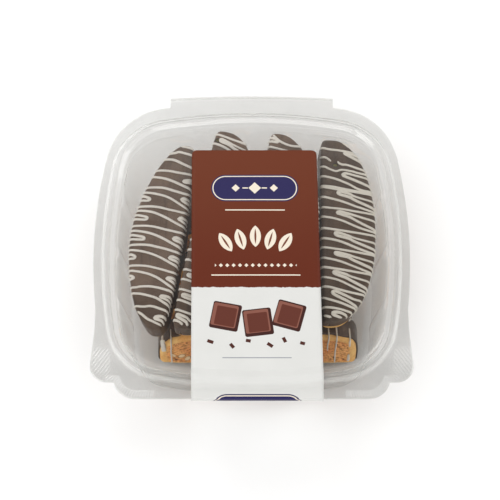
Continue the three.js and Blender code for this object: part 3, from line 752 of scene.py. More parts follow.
def make_band():
    """Rings across the band, with the place of each point along it."""
    panel = RIM_HEIGHT + PANEL_RISE + GAP
    bead = RIM_HEIGHT + BEAD_RISE + GAP
    flange = RIM_HEIGHT + GAP + SKIN + GAP
    under = RIM_HEIGHT - SKIN - GAP
    front = TAB_FRONT - GAP

    def wall(z):
        share = (z - WALL_FOOT_Z) / (WALL_TOP_Z - WALL_FOOT_Z)
        return WALL_FOOT + share * (WALL_TOP - WALL_FOOT) + SKIN + GAP

    half = (BAND_RIGHT - BAND_LEFT) / 2
    lines = []
    for k in range(BAND_COLUMNS + 1):
        x = BAND_MIDDLE + half * (2 * k / BAND_COLUMNS - 1)
        corners = [
            (BAND_BACK, panel), (front_of(75.8, x), panel), (front_of(80.3, x), bead),
            (front_of(84.3, x), bead), (front_of(86.8, x), flange + 0.2), (front, flange),
            (front, under), (front_of(wall(24.0), x), 24.0), (front_of(wall(7.0), x), 7.0),
        ]
        lines.append(filleted(corners, (2.5, 1.5, 1.5, 2.0, 0.5, 0.5, 6.0), 6, 999.0))
    lines = np.array(lines)
    # Straight stretches are long, so each is cut into as many parts in every column.
    dense = []
    for a, b in zip(np.swapaxes(lines, 0, 1), np.swapaxes(lines, 0, 1)[1:]):
        parts = max(1, int(np.linalg.norm(b - a, axis=1).mean() / 2.5))
        dense += [a + (b - a) * (p / parts) for p in range(parts)]
    dense.append(lines[:, -1])
    lines = np.swapaxes(np.array(dense), 0, 1)
    # More points near the back end, where the band's corners are round.
    head = np.concatenate([lines[:, :1] - (e, 0.0) for e in (0.0, 0.09, 0.35, 0.8, 1.6)], axis=1)
    lines = np.concatenate([head, lines[:, 1:]], axis=1)
    tangent = unit(np.gradient(lines, axis=1))
    out = np.stack([tangent[..., 1], -tangent[..., 0]], -1)
    lengths = np.linalg.norm(np.diff(lines, axis=1), axis=2)
    along = np.concatenate([np.zeros((len(lines), 1)), np.cumsum(lengths, axis=1)], axis=1)
    inset = np.clip(BAND_CORNER - along, 0, None)
    inset = BAND_CORNER - np.sqrt(BAND_CORNER**2 - inset**2)
    rows, places = [], []
    for k, line in enumerate(lines):
        share = 2 * k / BAND_COLUMNS - 1
        x = BAND_MIDDLE + share * (half - inset[k])
        buckle = 0.12 * np.sin(along[k] / 17.0 + 2.1 * share) * smooth(along[k] / 20.0)
        lift = np.abs(buckle) * smooth((130.0 - along[k]) / 30.0)
        inner = np.column_stack([x, line])
        outer = np.column_stack([x, line + out[k] * BAND_THICK])
        for side in (inner, outer):
            side[:, 2] += lift
            side[:, 0] += BAND_SLANT * (BAND_PIVOT - side[:, 1])
        rows.append(np.concatenate([inner, outer[::-1]]))
        place = np.column_stack([x, along[k]])
        places.append(np.concatenate([place, place[::-1]]))
    return np.array(rows), np.array(places)


def strip(rows):
    """A closed strip whose cross-section is a thin loop: its two long edges are closed as ribbons."""
    index, ahead = numbered(rows)
    around = rows.shape[1]
    faces = ribbons(index, ahead).tolist()
    for loop, turned in ((index[0], False), (index[-1], True)):
        for i in range(around // 2 - 1):
            face = [loop[i], loop[around - 1 - i], loop[around - 2 - i], loop[i + 1]]
            faces.append([int(v) for v in (face[::-1] if turned else face)])
    points = rows.reshape(-1, 3)
    if looks_in(points, np.array(faces)):
        faces = [f[::-1] for f in faces]
    return points, faces


band_rows, band_places = make_band()
band_points, band_faces = strip(band_rows)
mesh_piece(
    "paper_band", band_points, band_faces, PAPER, "printed_paper", ["label_band"],
    uv=band_places.reshape(-1, 2) / 100.0,
)

# ---- Biscotti --------------------------------------------------------------------------------------

SHOULDER = 2.3  # rounding of the chocolate's upper edge


def turn_about(axis, degrees):
    """A turn about X, Y or Z, as a matrix."""
    c, s = math.cos(math.radians(degrees)), math.sin(math.radians(degrees))
    i, j = [(1, 2), (2, 0), (0, 1)][axis]
    m = np.eye(4)
    m[i, i], m[i, j], m[j, i], m[j, j] = c, -s, s, c
    return m


def shift_by(x, y, z):
    m = np.eye(4)
    m[:3, 3] = (x, y, z)
    return m


def upper_place(p):
    m = shift_by(p["x"], p["y"], p["bottom"]) @ turn_about(2, p["turn"]) @ turn_about(1, p["lean"])
    if p.get("mirrored"):
        m = m @ turn_about(2, 180)
    return m @ shift_by(-p["width"] / 2, 0, 0)


def lower_place(p, index):
    lean = math.radians(LOWER_LEAN)
    lift = SKIN + GAP + CUT_THICK * math.sin(lean) + COAT_SIDE * math.cos(lean)
    stand = np.array([[0, 1, 0, 0], [0, 0, 1, 0], [1, 0, 0, 0], [0, 0, 0, 1]], float)
    return shift_by(p["x"], LOWER_FOOT + index * LOWER_PITCH, lift) @ turn_about(0, -LOWER_LEAN) @ stand


def placed(matrix, points):
    return points @ matrix[:3, :3].T + matrix[:3, 3]


def sides(piece, y, grow):
    """Where the flat side and the dome side are, across, at places along the piece."""
    half = piece["length"] / 2 + grow
    flat = piece["width"] * piece.get("foot", FLAT_SHARE)
    reach = np.clip(np.abs(y) / half, 0, 1)
    power = piece["flat"]
    low = flat + grow * (1 + piece.get("thick", 0.0))
    left = flat - low * (1 - reach**power) ** (1 / power)
    dome = np.where(y < 0, piece.get("dome_start", piece["dome"]), piece["dome"])
    right = flat + (piece["width"] - flat + grow) * (1 - reach**dome) ** (1 / dome)
    return left, right


def cuts(half, step):
    """Places of the slices along a piece, close together at its tips."""
    tips = half * (1 - np.array([0.0002, 0.001, 0.003, 0.006, 0.010, 0.015, 0.02]))
    inner = np.linspace(-half * 0.975, half * 0.975, int(2 * half / step))
    return np.concatenate([-tips, inner, tips[::-1]])


def end_round(half, y, radius):
    """How far a rounded edge has fallen back near the two ends of a piece."""
    near = np.clip(radius - (half - np.abs(y)), 0, radius)
    return radius - np.sqrt(radius**2 - near**2)


def box_loops(left, right, low, high, radii, steps):
    """Loops round a box with round corners, one for each slice, and what each point lies on."""
    across, up, arc = steps
    limit = 0.48 * (right - left)
    r_low, r_high = np.minimum(radii[0], limit), np.minimum(radii[1], limit)
    xs, zs, kinds = [], [], []

    def put(x, z, kind):
        xs.append(x)
        zs.append(z)
        kinds.append(kind)

    def corner(cx, cz, r, first):
        for k in range(arc + 1):
            a = first + math.pi / 2 * k / arc
            put(cx + r * math.cos(a), cz + r * math.sin(a), 1)

    for k in range(1, across):
        put(left + r_low + (right - left - 2 * r_low) * k / across, low, 0)
    corner(right - r_low, low + r_low, r_low, -math.pi / 2)
    for k in range(1, up):
        put(right, low + r_low + (high - low - r_low - r_high) * k / up, 1)
    corner(right - r_high, high - r_high, r_high, 0.0)
    for k in range(1, across):
        put(right - r_high - (right - left - 2 * r_high) * k / across, high, 2)
    corner(left + r_high, high - r_high, r_high, math.pi / 2)
    for k in range(1, up):
        put(left, high - r_high - (high - low - r_low - r_high) * k / up, 1)
    corner(left + r_low, low + r_low, r_low, math.pi)
    return np.stack(xs, 1), np.stack(zs, 1), np.array(kinds)


ALMONDS = 9  # slices of almond in a piece


def make_dough(piece, step, seed):
    """A sliced loaf's crumb, crust and almonds as one body, with what each point is."""
    half = piece["length"] / 2
    y = cuts(half, step)
    left, right = sides(piece, y, 0.0)
    low = end_round(half, y, CRUST_ROUND)
    high = CUT_THICK - COAT_THICK - GAP - end_round(half, y, 0.8)
    steps = (int(piece["width"] / step), int(14 / step), 3)
    x, z, kinds = box_loops(left, right, low, high, (CRUST_ROUND, 0.6), steps)
    rings = np.stack([x, np.broadcast_to(y[:, None], x.shape), z], -1)
    normals = ring_normals(rings)
    p = rings.reshape(-1, 3)
    face = np.broadcast_to((kinds != 1)[None, :], x.shape).ravel().astype(float)
    inset = np.minimum(x - left[:, None], right[:, None] - x).ravel()
    tip = half - np.abs(p[:, 1])
    ragged = value_noise(p, 4.0, seed + 1)
    crumb = face * smooth((inset - 0.9 - 0.9 * ragged) / 1.4) * smooth((tip - 3.2 - 2.0 * ragged) / 2.6)
    warped = p + 0.5 * np.stack([value_noise(p, 1.6, seed + k) for k in (11, 12, 13)], -1)
    warped *= (1, 1, 0.3)  # so pores run deep into the crumb
    pit = np.maximum(
        pores(warped, 3.6, 1.6, 0.7, seed + 20),
        0.9 * pores(warped, 1.9, 0.9, 0.8, seed + 30),
    ) * crumb
    rng = np.random.default_rng(seed)
    nut = np.zeros(len(p))
    skin = np.zeros(len(p))
    for _ in range(ALMONDS):
        centre = (rng.uniform(0.2, 0.8) * piece["width"], rng.uniform(-0.43, 0.43) * piece["length"])
        angle = rng.uniform(0, math.pi)
        size = (rng.uniform(1.8, 4.0), rng.uniform(1.0, 1.9))
        side = 0.0 if rng.uniform() < 0.6 else CUT_THICK
        off = p[:, :2] - centre
        a = off[:, 0] * math.cos(angle) + off[:, 1] * math.sin(angle)
        b = off[:, 1] * math.cos(angle) - off[:, 0] * math.sin(angle)
        away = np.hypot(a / size[0], b / size[1]) + 0.15 * ragged
        here = (np.abs(p[:, 2] - side) < 4.0) * crumb
        nut = np.maximum(nut, (1 - smooth((away - 0.82) / 0.2)) * here)
        skin = np.maximum(skin, (1 - smooth((away - 1.05) / 0.2)) * here)
    pit *= 1 - skin
    rough = 0.28 * value_noise(p, 2.6, seed + 2) + 0.16 * value_noise(p, 1.2, seed + 3)
    height = crumb * (rough * (1 - skin) - 1.2 * smooth(pit)) - 0.12 * crumb
    crust = 0.12 * value_noise(p, 6.0, seed + 4) + 0.06 * value_noise(p, 1.8, seed + 5)
    height += (1 - crumb) * crust
    height += 0.10 * nut
    rings = rings + normals * height.reshape(x.shape)[..., None]
    return rings, dict(crumb=crumb, pit=pit, nut=nut, skin=np.clip(skin - nut, 0, 1))


def lumps(points, seed):
    """How far the chocolate stands in or out at a point."""
    return 0.26 * value_noise(points, 10.0, seed + 40) + 0.12 * value_noise(points, 4.5, seed + 41)


def coat_top(piece, y):
    return CUT_THICK - end_round(piece["length"] / 2 + COAT_SIDE, y, SHOULDER)


def skirt_edge(piece, y, side, seed):
    """Height of the chocolate's lower edge on one side. It hangs low on the flat side, side 0."""
    at = np.stack([y, np.full_like(y, side * 50.0), np.zeros_like(y)], -1)
    tip = np.stack([y, np.zeros_like(y), np.zeros_like(y)], -1)
    own = value_noise(at, 9.0, seed + 50) + 0.5 * value_noise(at, 3.5, seed + 51)
    both = value_noise(tip, 9.0, seed + 52)
    fade = smooth((piece["length"] / 2 - np.abs(y)) / 9.0)
    more = max(0.0, FLAT_SKIRT - piece["skirt"]) * fade if side == 0 else 0.0
    edge = CUT_THICK * (1 - piece["skirt"] - more) + 1.0 * (own * fade + both * (1 - fade))
    return np.maximum(edge, 0.8)


def make_coat(piece, step, seed):
    """The chocolate as a cap over the dipped face that hangs down the sides to a wavy edge."""
    half = piece["length"] / 2 + COAT_SIDE
    y = cuts(half, step)
    left, right = sides(piece, y, COAT_SIDE)
    in_left, in_right = sides(piece, y, -0.3)
    high = coat_top(piece, y)
    edge_l, edge_r = (skirt_edge(piece, y, s, seed) for s in (0, 1))
    radius = np.minimum(SHOULDER, 0.48 * (right - left))
    roof = CUT_THICK - COAT_THICK - 0.1
    deep = smooth((piece["length"] / 2 - 0.3 - np.abs(y)) / 1.2)
    xs, zs, outer = [], [], []

    def put(x, z, out=1.0):
        xs.append(x + 0 * y)
        zs.append(z + 0 * y)
        outer.append(out)

    up, across, arc = max(6, int(9 / step)), int(piece["width"] / step), 7
    put(left + 0.25, edge_l, 0.6)
    for k in range(up + 1):
        put(left, edge_l + 0.35 + (high - radius - edge_l - 0.35) * k / up)
    for k in range(1, arc):
        a = math.pi - math.pi / 2 * k / arc
        put(left + radius + radius * math.cos(a), high - radius + radius * math.sin(a))
    for k in range(across + 1):
        put(left + radius + (right - left - 2 * radius) * k / across, high)
    for k in range(1, arc):
        a = math.pi / 2 - math.pi / 2 * k / arc
        put(right - radius + radius * math.cos(a), high - radius + radius * math.sin(a))
    for k in range(up + 1):
        put(right, high - radius + (edge_r + 0.35 - high + radius) * k / up)
    put(right - 0.25, edge_r, 0.6)
    put(in_right, edge_r + 0.1, 0.0)
    put(in_right, edge_r + 0.1 + (roof - edge_r - 0.1) * deep, 0.0)
    put(in_left, edge_l + 0.1 + (roof - edge_l - 0.1) * deep, 0.0)
    put(in_left, edge_l + 0.1, 0.0)
    x, z = np.stack(xs, 1), np.stack(zs, 1)
    rings = np.stack([x, np.broadcast_to(y[:, None], x.shape), z], -1)
    normals = ring_normals(rings)
    swell = lumps(rings, seed) * np.array(outer)[None, :]
    return rings + normals * swell[..., None]


def on_coat(piece, x, y, seed):
    """Points of the chocolate's surface and their normals. Across, x is measured over the edges."""
    left, right = sides(piece, y, COAT_SIDE)
    high = coat_top(piece, y)
    radius = np.minimum(SHOULDER, 0.48 * (right - left))
    over = np.maximum(x - (right - radius), 0) - np.maximum(left + radius - x, 0)
    angle = np.clip(np.abs(over) / radius, 0, math.pi / 2)
    down = np.maximum(np.abs(over) - radius * math.pi / 2, 0)
    way = np.sign(over)
    px = np.clip(x, left + radius, right - radius) + way * radius * np.sin(angle)
    pz = high - radius + radius * np.cos(angle) - down
    points = np.stack([px, y, pz], -1)
    normals = np.stack([way * np.sin(angle), 0 * y, np.cos(angle)], -1)
    return points + normals * lumps(points, seed)[:, None], normals


def spline(controls, spacing):
    """A smooth line through its controls, as rows of x, y and width."""
    c = np.asarray(controls, float)
    c = np.concatenate([2 * c[:1] - c[1:2], c, 2 * c[-1:] - c[-2:-1]])
    rows = []
    for a, b, d, e in zip(c, c[1:], c[2:], c[3:]):
        steps = max(2, int(math.ceil(np.hypot(*(d - b)[:2]) / spacing)))
        for k in range(steps):
            t = k / steps
            rows.append(
                0.5 * (2 * b + (d - a) * t + (2 * a - 5 * b + 4 * d - e) * t * t
                       + (3 * b - a - 3 * d + e) * t**3)
            )
    rows.append(c[-2])
    return np.array(rows)


def bead_of(points, normals, widths, height=0.42, sides_count=10):
    """A rounded bead laid along points of a surface, tapered to its two ends."""
    step = np.linalg.norm(np.diff(points, axis=0), axis=1)
    along = np.concatenate([[0], np.cumsum(step)])
    close = np.minimum(along, along[-1] - along)
    blunt = np.clip(close / (widths / 2), 0.02, 1)
    taper = np.sqrt(np.clip(1 - (1 - blunt) ** 2, 0.03, 1))
    side = unit(np.cross(unit(np.gradient(points, axis=0)), normals))
    angles = 2 * math.pi * np.arange(sides_count) / sides_count
    rings = []
    for k in range(len(points)):
        w, h = widths[k] / 2 * taper[k], height * (0.35 + 0.65 * taper[k])
        rings.append(
            points[k] + side[k] * (w * np.cos(angles))[:, None]
            + normals[k] * (h * np.sin(angles) + 0.05)[:, None]
        )
    return np.array(rings)


SLACK = 0.16  # how unsteadily the drizzle was poured


def arch_strokes(w, row, at, over, _):
    """One repeat from the dome: a level stroke, a falling one, and short loops at both edges."""
    _, flat_tip, dome_tip = row
    lines = [
        [at(w + over(), 0.0), at(0.66 * w, -1.1), at(0.31 * w, 0.3), at(0.0, 1.6), at(-5.5, -0.2)],
        [at(w + over(), 2.6), at(0.72 * w, 2.75), at(0.41 * w, 5.1), at(0.0, 10.7), at(-5.5, 9.9)],
    ]
    if dome_tip:
        lines.append(
            [at(w + over(), 4.9), at(dome_tip + 1.6, 5.9, 1.6), at(dome_tip, 6.8, 1.6),
             at(dome_tip + 1.6, 7.7, 1.6), at(w + over(), 8.0)]
        )
    if flat_tip:
        lines.append(
            [at(-4.5, 5.9, 1.4), at(0.6, 5.3, 1.5), at(flat_tip - 1.3, 4.7, 1.8), at(flat_tip, 5.4, 1.9),
             at(flat_tip - 1.3, 6.4, 1.8), at(0.6, 7.5, 1.5), at(-4.5, 8.4, 1.4)]
        )
    return lines


def fan_strokes(w, row, at, over, lead):
    """One repeat from the flat side: two strokes that meet at the dome, and a long loop from there."""
    _, tip, _ = row
    lines = [
        [at(-lead, 0.0), at(0.3 * w, -1.8), at(0.7 * w, -6.2), at(w, -9.0), at(w + over(), -8.8)],
        [at(-lead, 6.1), at(0.35 * w, 4.9), at(0.7 * w, 3.5), at(w, 2.5), at(w + over(), 2.6)],
    ]
    if tip:
        third = tip + (w - tip) / 3
        lines.append(
            [at(w + over(), -2.9, 1.2), at((tip + w) / 2, 0.55, 1.35), at(third, 2.0, 1.6),
             at(tip + 1.3, 3.3, 1.8), at(tip, 2.5, 1.9), at(tip + 1.3, 1.6, 1.9), at(third, 0.0, 1.8),
             at((tip + w) / 2, -1.8, 1.7), at(w + over(), -8.0, 1.6)]
        )
    return lines


def drizzle_lines(piece, style, rng):
    """The repeats on one piece, each line as controls: across from the flat side, along, width.
    Across counts as if the piece were as wide everywhere as in its middle."""
    w = float(piece["width"])
    strokes = {"arch": arch_strokes, "fan": fan_strokes}[style["kind"]]
    lines = []
    for row in style["rows"]:

        def at(x, dy, width=1.45):
            return (x, row[0] + dy + rng.normal(0, SLACK), width * rng.uniform(0.92, 1.1))

        lines += strokes(w, row, at, lambda: rng.uniform(1.6, 4.2), style.get("lead", 2.8))
    return lines


def make_drizzle(piece, style, seed):
    """The beads of one piece: its repeats, and at its ends the strokes that its style lists."""
    rng = np.random.default_rng(seed)
    w, half = piece["width"], piece["length"] / 2
    beads = []
    lines = [(line, False) for line in drizzle_lines(piece, style, rng)]
    for controls, measured in lines + [(line, True) for line in style.get("ends", [])]:
        rows = spline(controls, 0.9)
        x, y, width = rows.T
        keep = np.abs(y) < half - 0.6
        left, right = sides(piece, np.clip(y, -half, half), COAT_SIDE)
        keep &= right - left > 5.0
        runs = np.split(np.arange(len(y)), np.where(np.diff(keep.astype(int)) != 0)[0] + 1)
        for run in runs:
            if len(run) < 4 or not keep[run[0]]:
                continue
            near, far = left[run], right[run]
            u = x[run]
            real = np.where(u < 0, near + u, np.where(u > w, far + u - w, near + u / w * (far - near)))
            real = np.clip(u, near - 4.0, far + 3.0) if measured else real
            points, normals = on_coat(piece, real, y[run], seed_of(piece))
            beads.append(bead_of(points, normals, np.clip(width[run], 0.9, 2.4)))
    return beads


def seed_of(piece):
    return int(piece["length"] * 10) % 97 + int(piece["width"] * 10) % 13


# The drizzle of each upper piece. A row is where a repeat starts along the piece, and how far across
# its loops at the flat side and at the dome reach. A stroke of the ends is a list of places across and
# along, each with its width. A spot is a dimple: its place across and along, and its two half sizes.
# Tone sets how pale a piece's chocolate and drizzle are painted: for the chocolate partly bloom and partly
# painted sheen, for the drizzle painted light.
STYLES = [
    dict(kind="arch", tone=0.9, rows=[
        (-28.0, 4.6, 23.5), (-15.7, 3.9, 21.5), (-2.9, 4.8, 20.8), (9.1, 5.3, 25.0), (22.1, 4.9, 26.1),
    ], ends=[
        [(9.5, -57.0, 1.2), (6.0, -56.8, 1.4), (3.6, -56.3, 1.4), (-3.0, -54.9, 1.3)],
        [(31.0, -49.5, 1.4), (14.1, -52.1, 1.6), (10.3, -53.3, 1.6), (6.6, -52.7, 1.5), (-3.0, -50.7, 1.4)],
        [(33.0, -46.5, 1.4), (16.1, -47.9, 1.5), (11.9, -47.7, 1.6), (6.3, -45.6, 1.6), (-3.5, -42.0, 1.4)],
        [(33.0, -37.5, 1.4), (21.0, -40.0, 1.4), (14.3, -40.5, 1.5), (8.0, -39.9, 1.5), (-4.0, -38.6, 1.4)],
        [(33.0, -36.0, 1.4), (20.3, -35.7, 1.5), (15.5, -35.3, 1.6), (10.6, -34.0, 1.6), (3.9, -31.5, 1.6),
         (-4.0, -28.6, 1.5)],
        [(-4.5, -36.0, 1.7), (2.5, -35.2, 1.9), (4.3, -34.6, 1.9), (2.5, -33.9, 1.8), (-4.5, -34.2, 1.7)],
        [(-4.2, 40.6, 1.4), (1.3, 38.7, 1.6), (5.2, 38.5, 1.8), (5.2, 39.4, 1.7), (2.1, 40.4, 1.5),
         (-4.2, 43.3, 1.4)],
        [(33.0, 35.2, 1.4), (21.7, 34.9, 1.4), (18.4, 34.0, 1.4), (12.6, 33.3, 1.5), (6.7, 33.8, 1.5),
         (0.7, 35.1, 1.5), (-4.5, 36.6, 1.4)],
        [(33.0, 38.2, 1.4), (20.8, 38.5, 1.4), (17.6, 38.4, 1.5), (11.6, 39.2, 1.5), (7.3, 40.3, 1.5),
         (2.3, 42.8, 1.5), (-4.5, 46.2, 1.4)],
        [(31.0, 45.2, 1.4), (16.2, 46.1, 1.4), (10.5, 45.3, 1.5), (5.8, 46.0, 1.5), (-3.4, 48.6, 1.4)],
        [(-1.5, 52.2, 1.6), (3.2, 51.0, 1.9), (6.2, 51.6, 2.1), (6.2, 52.6, 2.0), (3.0, 53.4, 1.7),
         (-0.8, 55.0, 1.4)],
        [(17.5, 49.0, 1.3), (14.2, 50.8, 1.5), (10.9, 53.0, 1.5), (7.8, 54.2, 1.4), (4.7, 55.4, 1.3),
         (1.7, 56.3, 1.1)],
    ]),
    dict(kind="fan", tone=1.0, spots=[(2.4, 56.0, 2.6, 1.4)],
         rows=[(54.1 - 12.55 * k, 6.3 - 0.4 * k, 0) for k in range(10)]),
    dict(kind="arch", tone=0.9,
         rows=[(50.4 - 12.5 * k, 9.9 - 0.4 * k, 22.0 if 1 < k < 7 else 0) for k in range(9)]),
    dict(kind="fan", tone=0.15, lead=4.0, spots=[(6.9, 40.2, 2.1, 1.6)], rows=[
        (19.7, 9.5, 0), (7.0, 8.7, 0), (-6.4, 7.3, 0), (-18.6, 7.3, 0), (-30.7, 6.9, 0),
    ], ends=[
        [(-3.4, 51.6, 1.3), (2.6, 50.4, 1.4), (8.0, 50.1, 1.4), (12.7, 49.6, 1.4), (18.0, 48.6, 1.3)],
        [(33.0, 44.0, 1.3), (21.0, 46.2, 1.5), (13.8, 49.0, 1.8), (12.4, 48.4, 2.0), (13.8, 47.4, 1.9),
         (21.0, 43.6, 1.7), (33.0, 37.5, 1.5)],
        [(-3.4, 45.2, 1.2), (-1.0, 44.9, 1.4), (1.4, 44.6, 1.4), (3.4, 43.2, 1.3), (4.4, 42.3, 0.9)],
        [(8.3, 42.9, 1.0), (9.0, 41.8, 1.3), (11.0, 40.9, 1.5), (14.0, 40.8, 1.4), (21.5, 38.4, 1.4),
         (33.0, 35.6, 1.4)],
        [(-3.4, 38.9, 1.3), (0.7, 38.5, 1.4), (3.7, 37.2, 1.3), (7.2, 36.3, 1.3), (10.8, 37.4, 1.3),
         (16.7, 36.7, 1.4), (21.4, 35.6, 1.4), (33.0, 34.5, 1.4)],
        [(33.0, 30.9, 1.2), (20.5, 33.6, 1.4), (14.5, 35.0, 1.6), (12.3, 35.0, 1.9), (11.2, 34.0, 2.0),
         (12.8, 33.0, 1.9), (18.0, 31.0, 1.7), (33.0, 25.0, 1.6)],
        [(-3.8, 32.8, 1.4), (5.0, 31.6, 1.5), (14.0, 28.5, 1.4), (21.5, 25.0, 1.4), (33.0, 23.4, 1.4)],
        [(-3.8, 26.2, 1.4), (5.0, 25.9, 1.5), (14.0, 24.6, 1.4), (33.0, 22.3, 1.4)],
        [(-3.6, -37.2, 1.4), (2.9, -37.3, 1.5), (12.0, -39.4, 1.5), (24.0, -41.4, 1.4), (33.0, -42.5, 1.4)],
        [(-3.6, -43.3, 1.3), (2.9, -44.9, 1.5), (8.6, -46.4, 1.5), (14.3, -48.5, 1.5), (22.0, -51.4, 1.3)],
        [(33.0, -46.4, 1.2), (18.3, -44.4, 1.4), (11.5, -41.8, 1.7), (6.0, -39.6, 1.9), (4.4, -40.6, 2.0),
         (6.6, -42.3, 1.9), (13.2, -45.4, 1.7), (18.3, -48.4, 1.6), (26.0, -52.0, 1.3)],
        [(-3.4, -49.9, 1.3), (2.9, -49.7, 1.5), (8.6, -50.4, 1.4), (13.1, -51.6, 1.4), (20.0, -53.8, 1.2)],
        [(13.4, -55.2, 1.3), (10.7, -53.3, 1.7), (7.4, -52.3, 2.0), (4.6, -52.8, 2.2), (4.9, -53.9, 2.2),
         (6.9, -54.8, 1.8), (9.6, -55.7, 1.4)],
        [(-1.0, -54.6, 1.3), (2.0, -55.2, 1.6), (4.6, -55.9, 1.3)],
        # This last stroke is a painted highlight: a pale bead along the back tip that stands in for a
        # highlight there.
        [(7.0, 56.6, 0.9), (10.0, 56.0, 1.7), (13.0, 54.2, 1.8), (15.2, 52.2, 1.0)],
    ]),
]


def bloom_and_painted_light(points, tone):
    """How pale the chocolate and drizzle are painted: the piece's tone, partly bloom and partly painted
    sheen, made darker towards the front of the pack as painted shade.
    """
    return tone * (1 - 0.7 * smooth((-20.0 - points[:, 1]) / 14.0))


def press_spots(points, spots):
    """Dimples in the chocolate where an almond nearly shows, and how deep in one each point lies."""
    deep = np.zeros(len(points))
    for x, y, across, along in spots:
        away = np.hypot((points[:, 0] - x) / across, (points[:, 1] - y) / along)
        deep = np.maximum(deep, (1 - smooth((away - 0.45) / 0.6)) * (points[:, 2] > CUT_THICK - 4))
    points[:, 2] -= 0.5 * deep
    return deep


def dress(label, piece, matrix, dough_step, coat_step, beads, tone, spots=()):
    seed = seed_of(piece)
    rings, facts = make_dough(piece, dough_step, seed)
    points, faces = loft(rings)
    padded = {key: np.append(values, [0.0, 0.0]) for key, values in facts.items()}
    mesh_piece(f"crumb_{label}", placed(matrix, points), faces, DOUGH, "baked_dough",
               [f"biscotto_{label}"], padded)
    points, faces = loft(make_coat(piece, coat_step, seed))
    spot = press_spots(points, spots)
    mesh_piece(f"coat_{label}", placed(matrix, points), faces, CHOCOLATE, "dark_chocolate",
               [f"chocolate_{label}"], dict(tone=bloom_and_painted_light(placed(matrix, points), tone), spot=spot))
    points, faces = joined(beads)
    mesh_piece(f"drizzle_{label}", placed(matrix, points), faces, DRIZZLE, "dark_chocolate",
               [f"chocolate_{label}"], dict(tone=bloom_and_painted_light(placed(matrix, points), tone)))


for index, (piece, style) in enumerate(zip(UPPER, STYLES)):
    dress(f"upper_{index + 1}", piece, upper_place(piece), 0.95, 0.85,
          make_drizzle(piece, style, 60 + index), style["tone"], style.get("spots", ()))


def string_of(piece, along, low, width):
    """A thin string of drizzle over the dome side of a standing piece and down its cut face."""
    at = np.array([along])
    top = float(sides(piece, at, 0.0)[1][0])
    path = [
        (top + 1.1, 9.0, along), (top + 1.15, 4.0, along + 0.2), (top + 0.9, 0.9, along + 0.3),
        (top - 0.5, -0.12, along + 0.3), (top - 4.0, -0.25, along + 0.2),
        ((top + low) / 2, -0.25, along - 0.1), (low, -0.25, along),
    ]
    points = spline(path, 1.0)[:, [0, 2, 1]]
    tangent = np.gradient(points, axis=0)
    normals = unit(np.column_stack([tangent[:, 2], np.zeros(len(points)), -tangent[:, 0]]))
    normals *= np.where(normals[:, :1] < normals[:, 2:], -1.0, 1.0)
    widths = np.full(len(points), float(width))
    return bead_of(points, normals, widths, height=0.32, sides_count=8)


# Strings of drizzle on the front piece: place along it, height of the lower end, and width.
FRONT_STRINGS = [
    (-54.2, 28.5, 2.6), (-49.8, 2.5, 0.9), (40.0, 16.0, 0.8), (44.6, 3.0, 0.9), (52.3, 26.5, 0.9),
]
LOWER_STYLE = dict(kind="fan", rows=[(55.0 - 12.5 * k, 12.0, 0) for k in range(10)])

for index, piece in enumerate(LOWER):
    beads = make_drizzle(piece, LOWER_STYLE, 80 + index)
    if index == 0:
        beads += [string_of(piece, *facts) for facts in FRONT_STRINGS]
        drip = np.column_stack([np.linspace(12.0, 4.0, 8), np.full(8, 52.4), np.full(8, -0.1)])
        beads.append(bead_of(drip, np.tile((0.0, 0.0, -1.0), (8, 1)), np.linspace(1.2, 2.0, 8)))
    fine = 0.6 if index == 0 else 1.5
    dress(f"lower_{index + 1}", piece, lower_place(piece, index), fine,
          1.0 if index == 0 else 1.5, beads, 0.0)

# ---- Floor, light and camera -----------------------------------------------------------------------

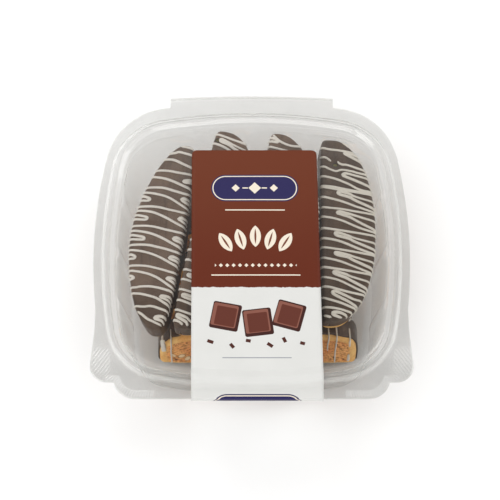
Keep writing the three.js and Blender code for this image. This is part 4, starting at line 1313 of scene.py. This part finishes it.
FLOOR = 4.0  # metres from the middle to each edge
floor_mesh = bpy.data.meshes.new("floor")
floor_mesh.from_pydata(
    [(-FLOOR, -FLOOR, 0), (FLOOR, -FLOOR, 0), (FLOOR, FLOOR, 0), (-FLOOR, FLOOR, 0)], [], [(0, 1, 2, 3)]
)
floor_mesh.materials.append(floor_surface())
floor = bpy.data.objects.new("floor", floor_mesh)
floor.location.z = -0.3 * MM
bpy.context.scene.collection.objects.link(floor)
floor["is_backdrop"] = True

world = bpy.data.worlds.new("studio")
world.use_nodes = True
tree = world.node_tree
sky = tree.nodes.new("ShaderNodeTexCoord").outputs["Generated"]
split = tree.nodes.new("ShaderNodeSeparateXYZ")
tree.links.new(sky, split.inputs[0])
ceiling = tree.nodes.new("ShaderNodeMapRange")
ceiling.interpolation_type = "SMOOTHSTEP"
for key, value in (("From Min", 0.83), ("From Max", 0.955), ("To Min", 0.92), ("To Max", 0.03)):
    ceiling.inputs[key].default_value = value
tree.links.new(split.outputs[2], ceiling.inputs["Value"])
tree.links.new(ceiling.outputs["Result"], tree.nodes["Background"].inputs["Strength"])
tree.nodes["Background"].inputs["Color"].default_value = (1.0, 0.995, 0.985, 1.0)
bpy.context.scene.world = world
bpy.context.scene.view_settings.view_transform = "Standard"


def softbox(name, place, target, size, power):
    light = bpy.data.lights.new(name, "AREA")
    light.shape = "RECTANGLE"
    light.size, light.size_y = size
    light.energy = power
    lamp = bpy.data.objects.new(name, light)
    lamp.location = place
    lamp.rotation_euler = (Vector(target) - Vector(place)).to_track_quat("-Z", "Y").to_euler()
    bpy.context.scene.collection.objects.link(lamp)


softbox("key", (-0.75, -0.35, 1.0), (0, 0, 0.04), (0.7, 0.9), 4.2)
softbox("side", (0.9, 0.2, 0.75), (0, 0, 0.04), (0.4, 0.9), 1.8)
softbox("back", (0.1, 1.1, 0.7), (0, 0, 0.04), (1.2, 0.35), 1.8)
softbox("front", (0.0, -1.4, 1.2), (0, -0.1, 0.0), (1.8, 0.6), 5.0)
softbox("sheen", (-0.45, 0.75, 1.0), (0, 0, 0.04), (0.5, 0.4), 1.6)

IMAGE_SIDE = 500
FOCAL_PIXELS = 1661.0
SENSOR = 36.0
ELEVATION = math.radians(66.0)
DISTANCE = 945.0
AIM = (-1.0, -1.7, 53.0)

camera_data = bpy.data.cameras.new("camera")
camera_data.sensor_width = SENSOR
camera_data.lens = SENSOR * FOCAL_PIXELS / IMAGE_SIDE
camera = bpy.data.objects.new("camera", camera_data)
camera.location = (
    AIM[0] * MM,
    (AIM[1] - DISTANCE * math.cos(ELEVATION)) * MM,
    (AIM[2] + DISTANCE * math.sin(ELEVATION)) * MM,
)
camera.rotation_euler = (math.pi / 2 - ELEVATION, 0.0, 0.0)
bpy.context.scene.collection.objects.link(camera)
bpy.context.scene.camera = camera


def plain(box):
    return [[float(v) for v in corner] for corner in box]


{"cad": plain(CAD_BOX), "visual": plain(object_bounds())}
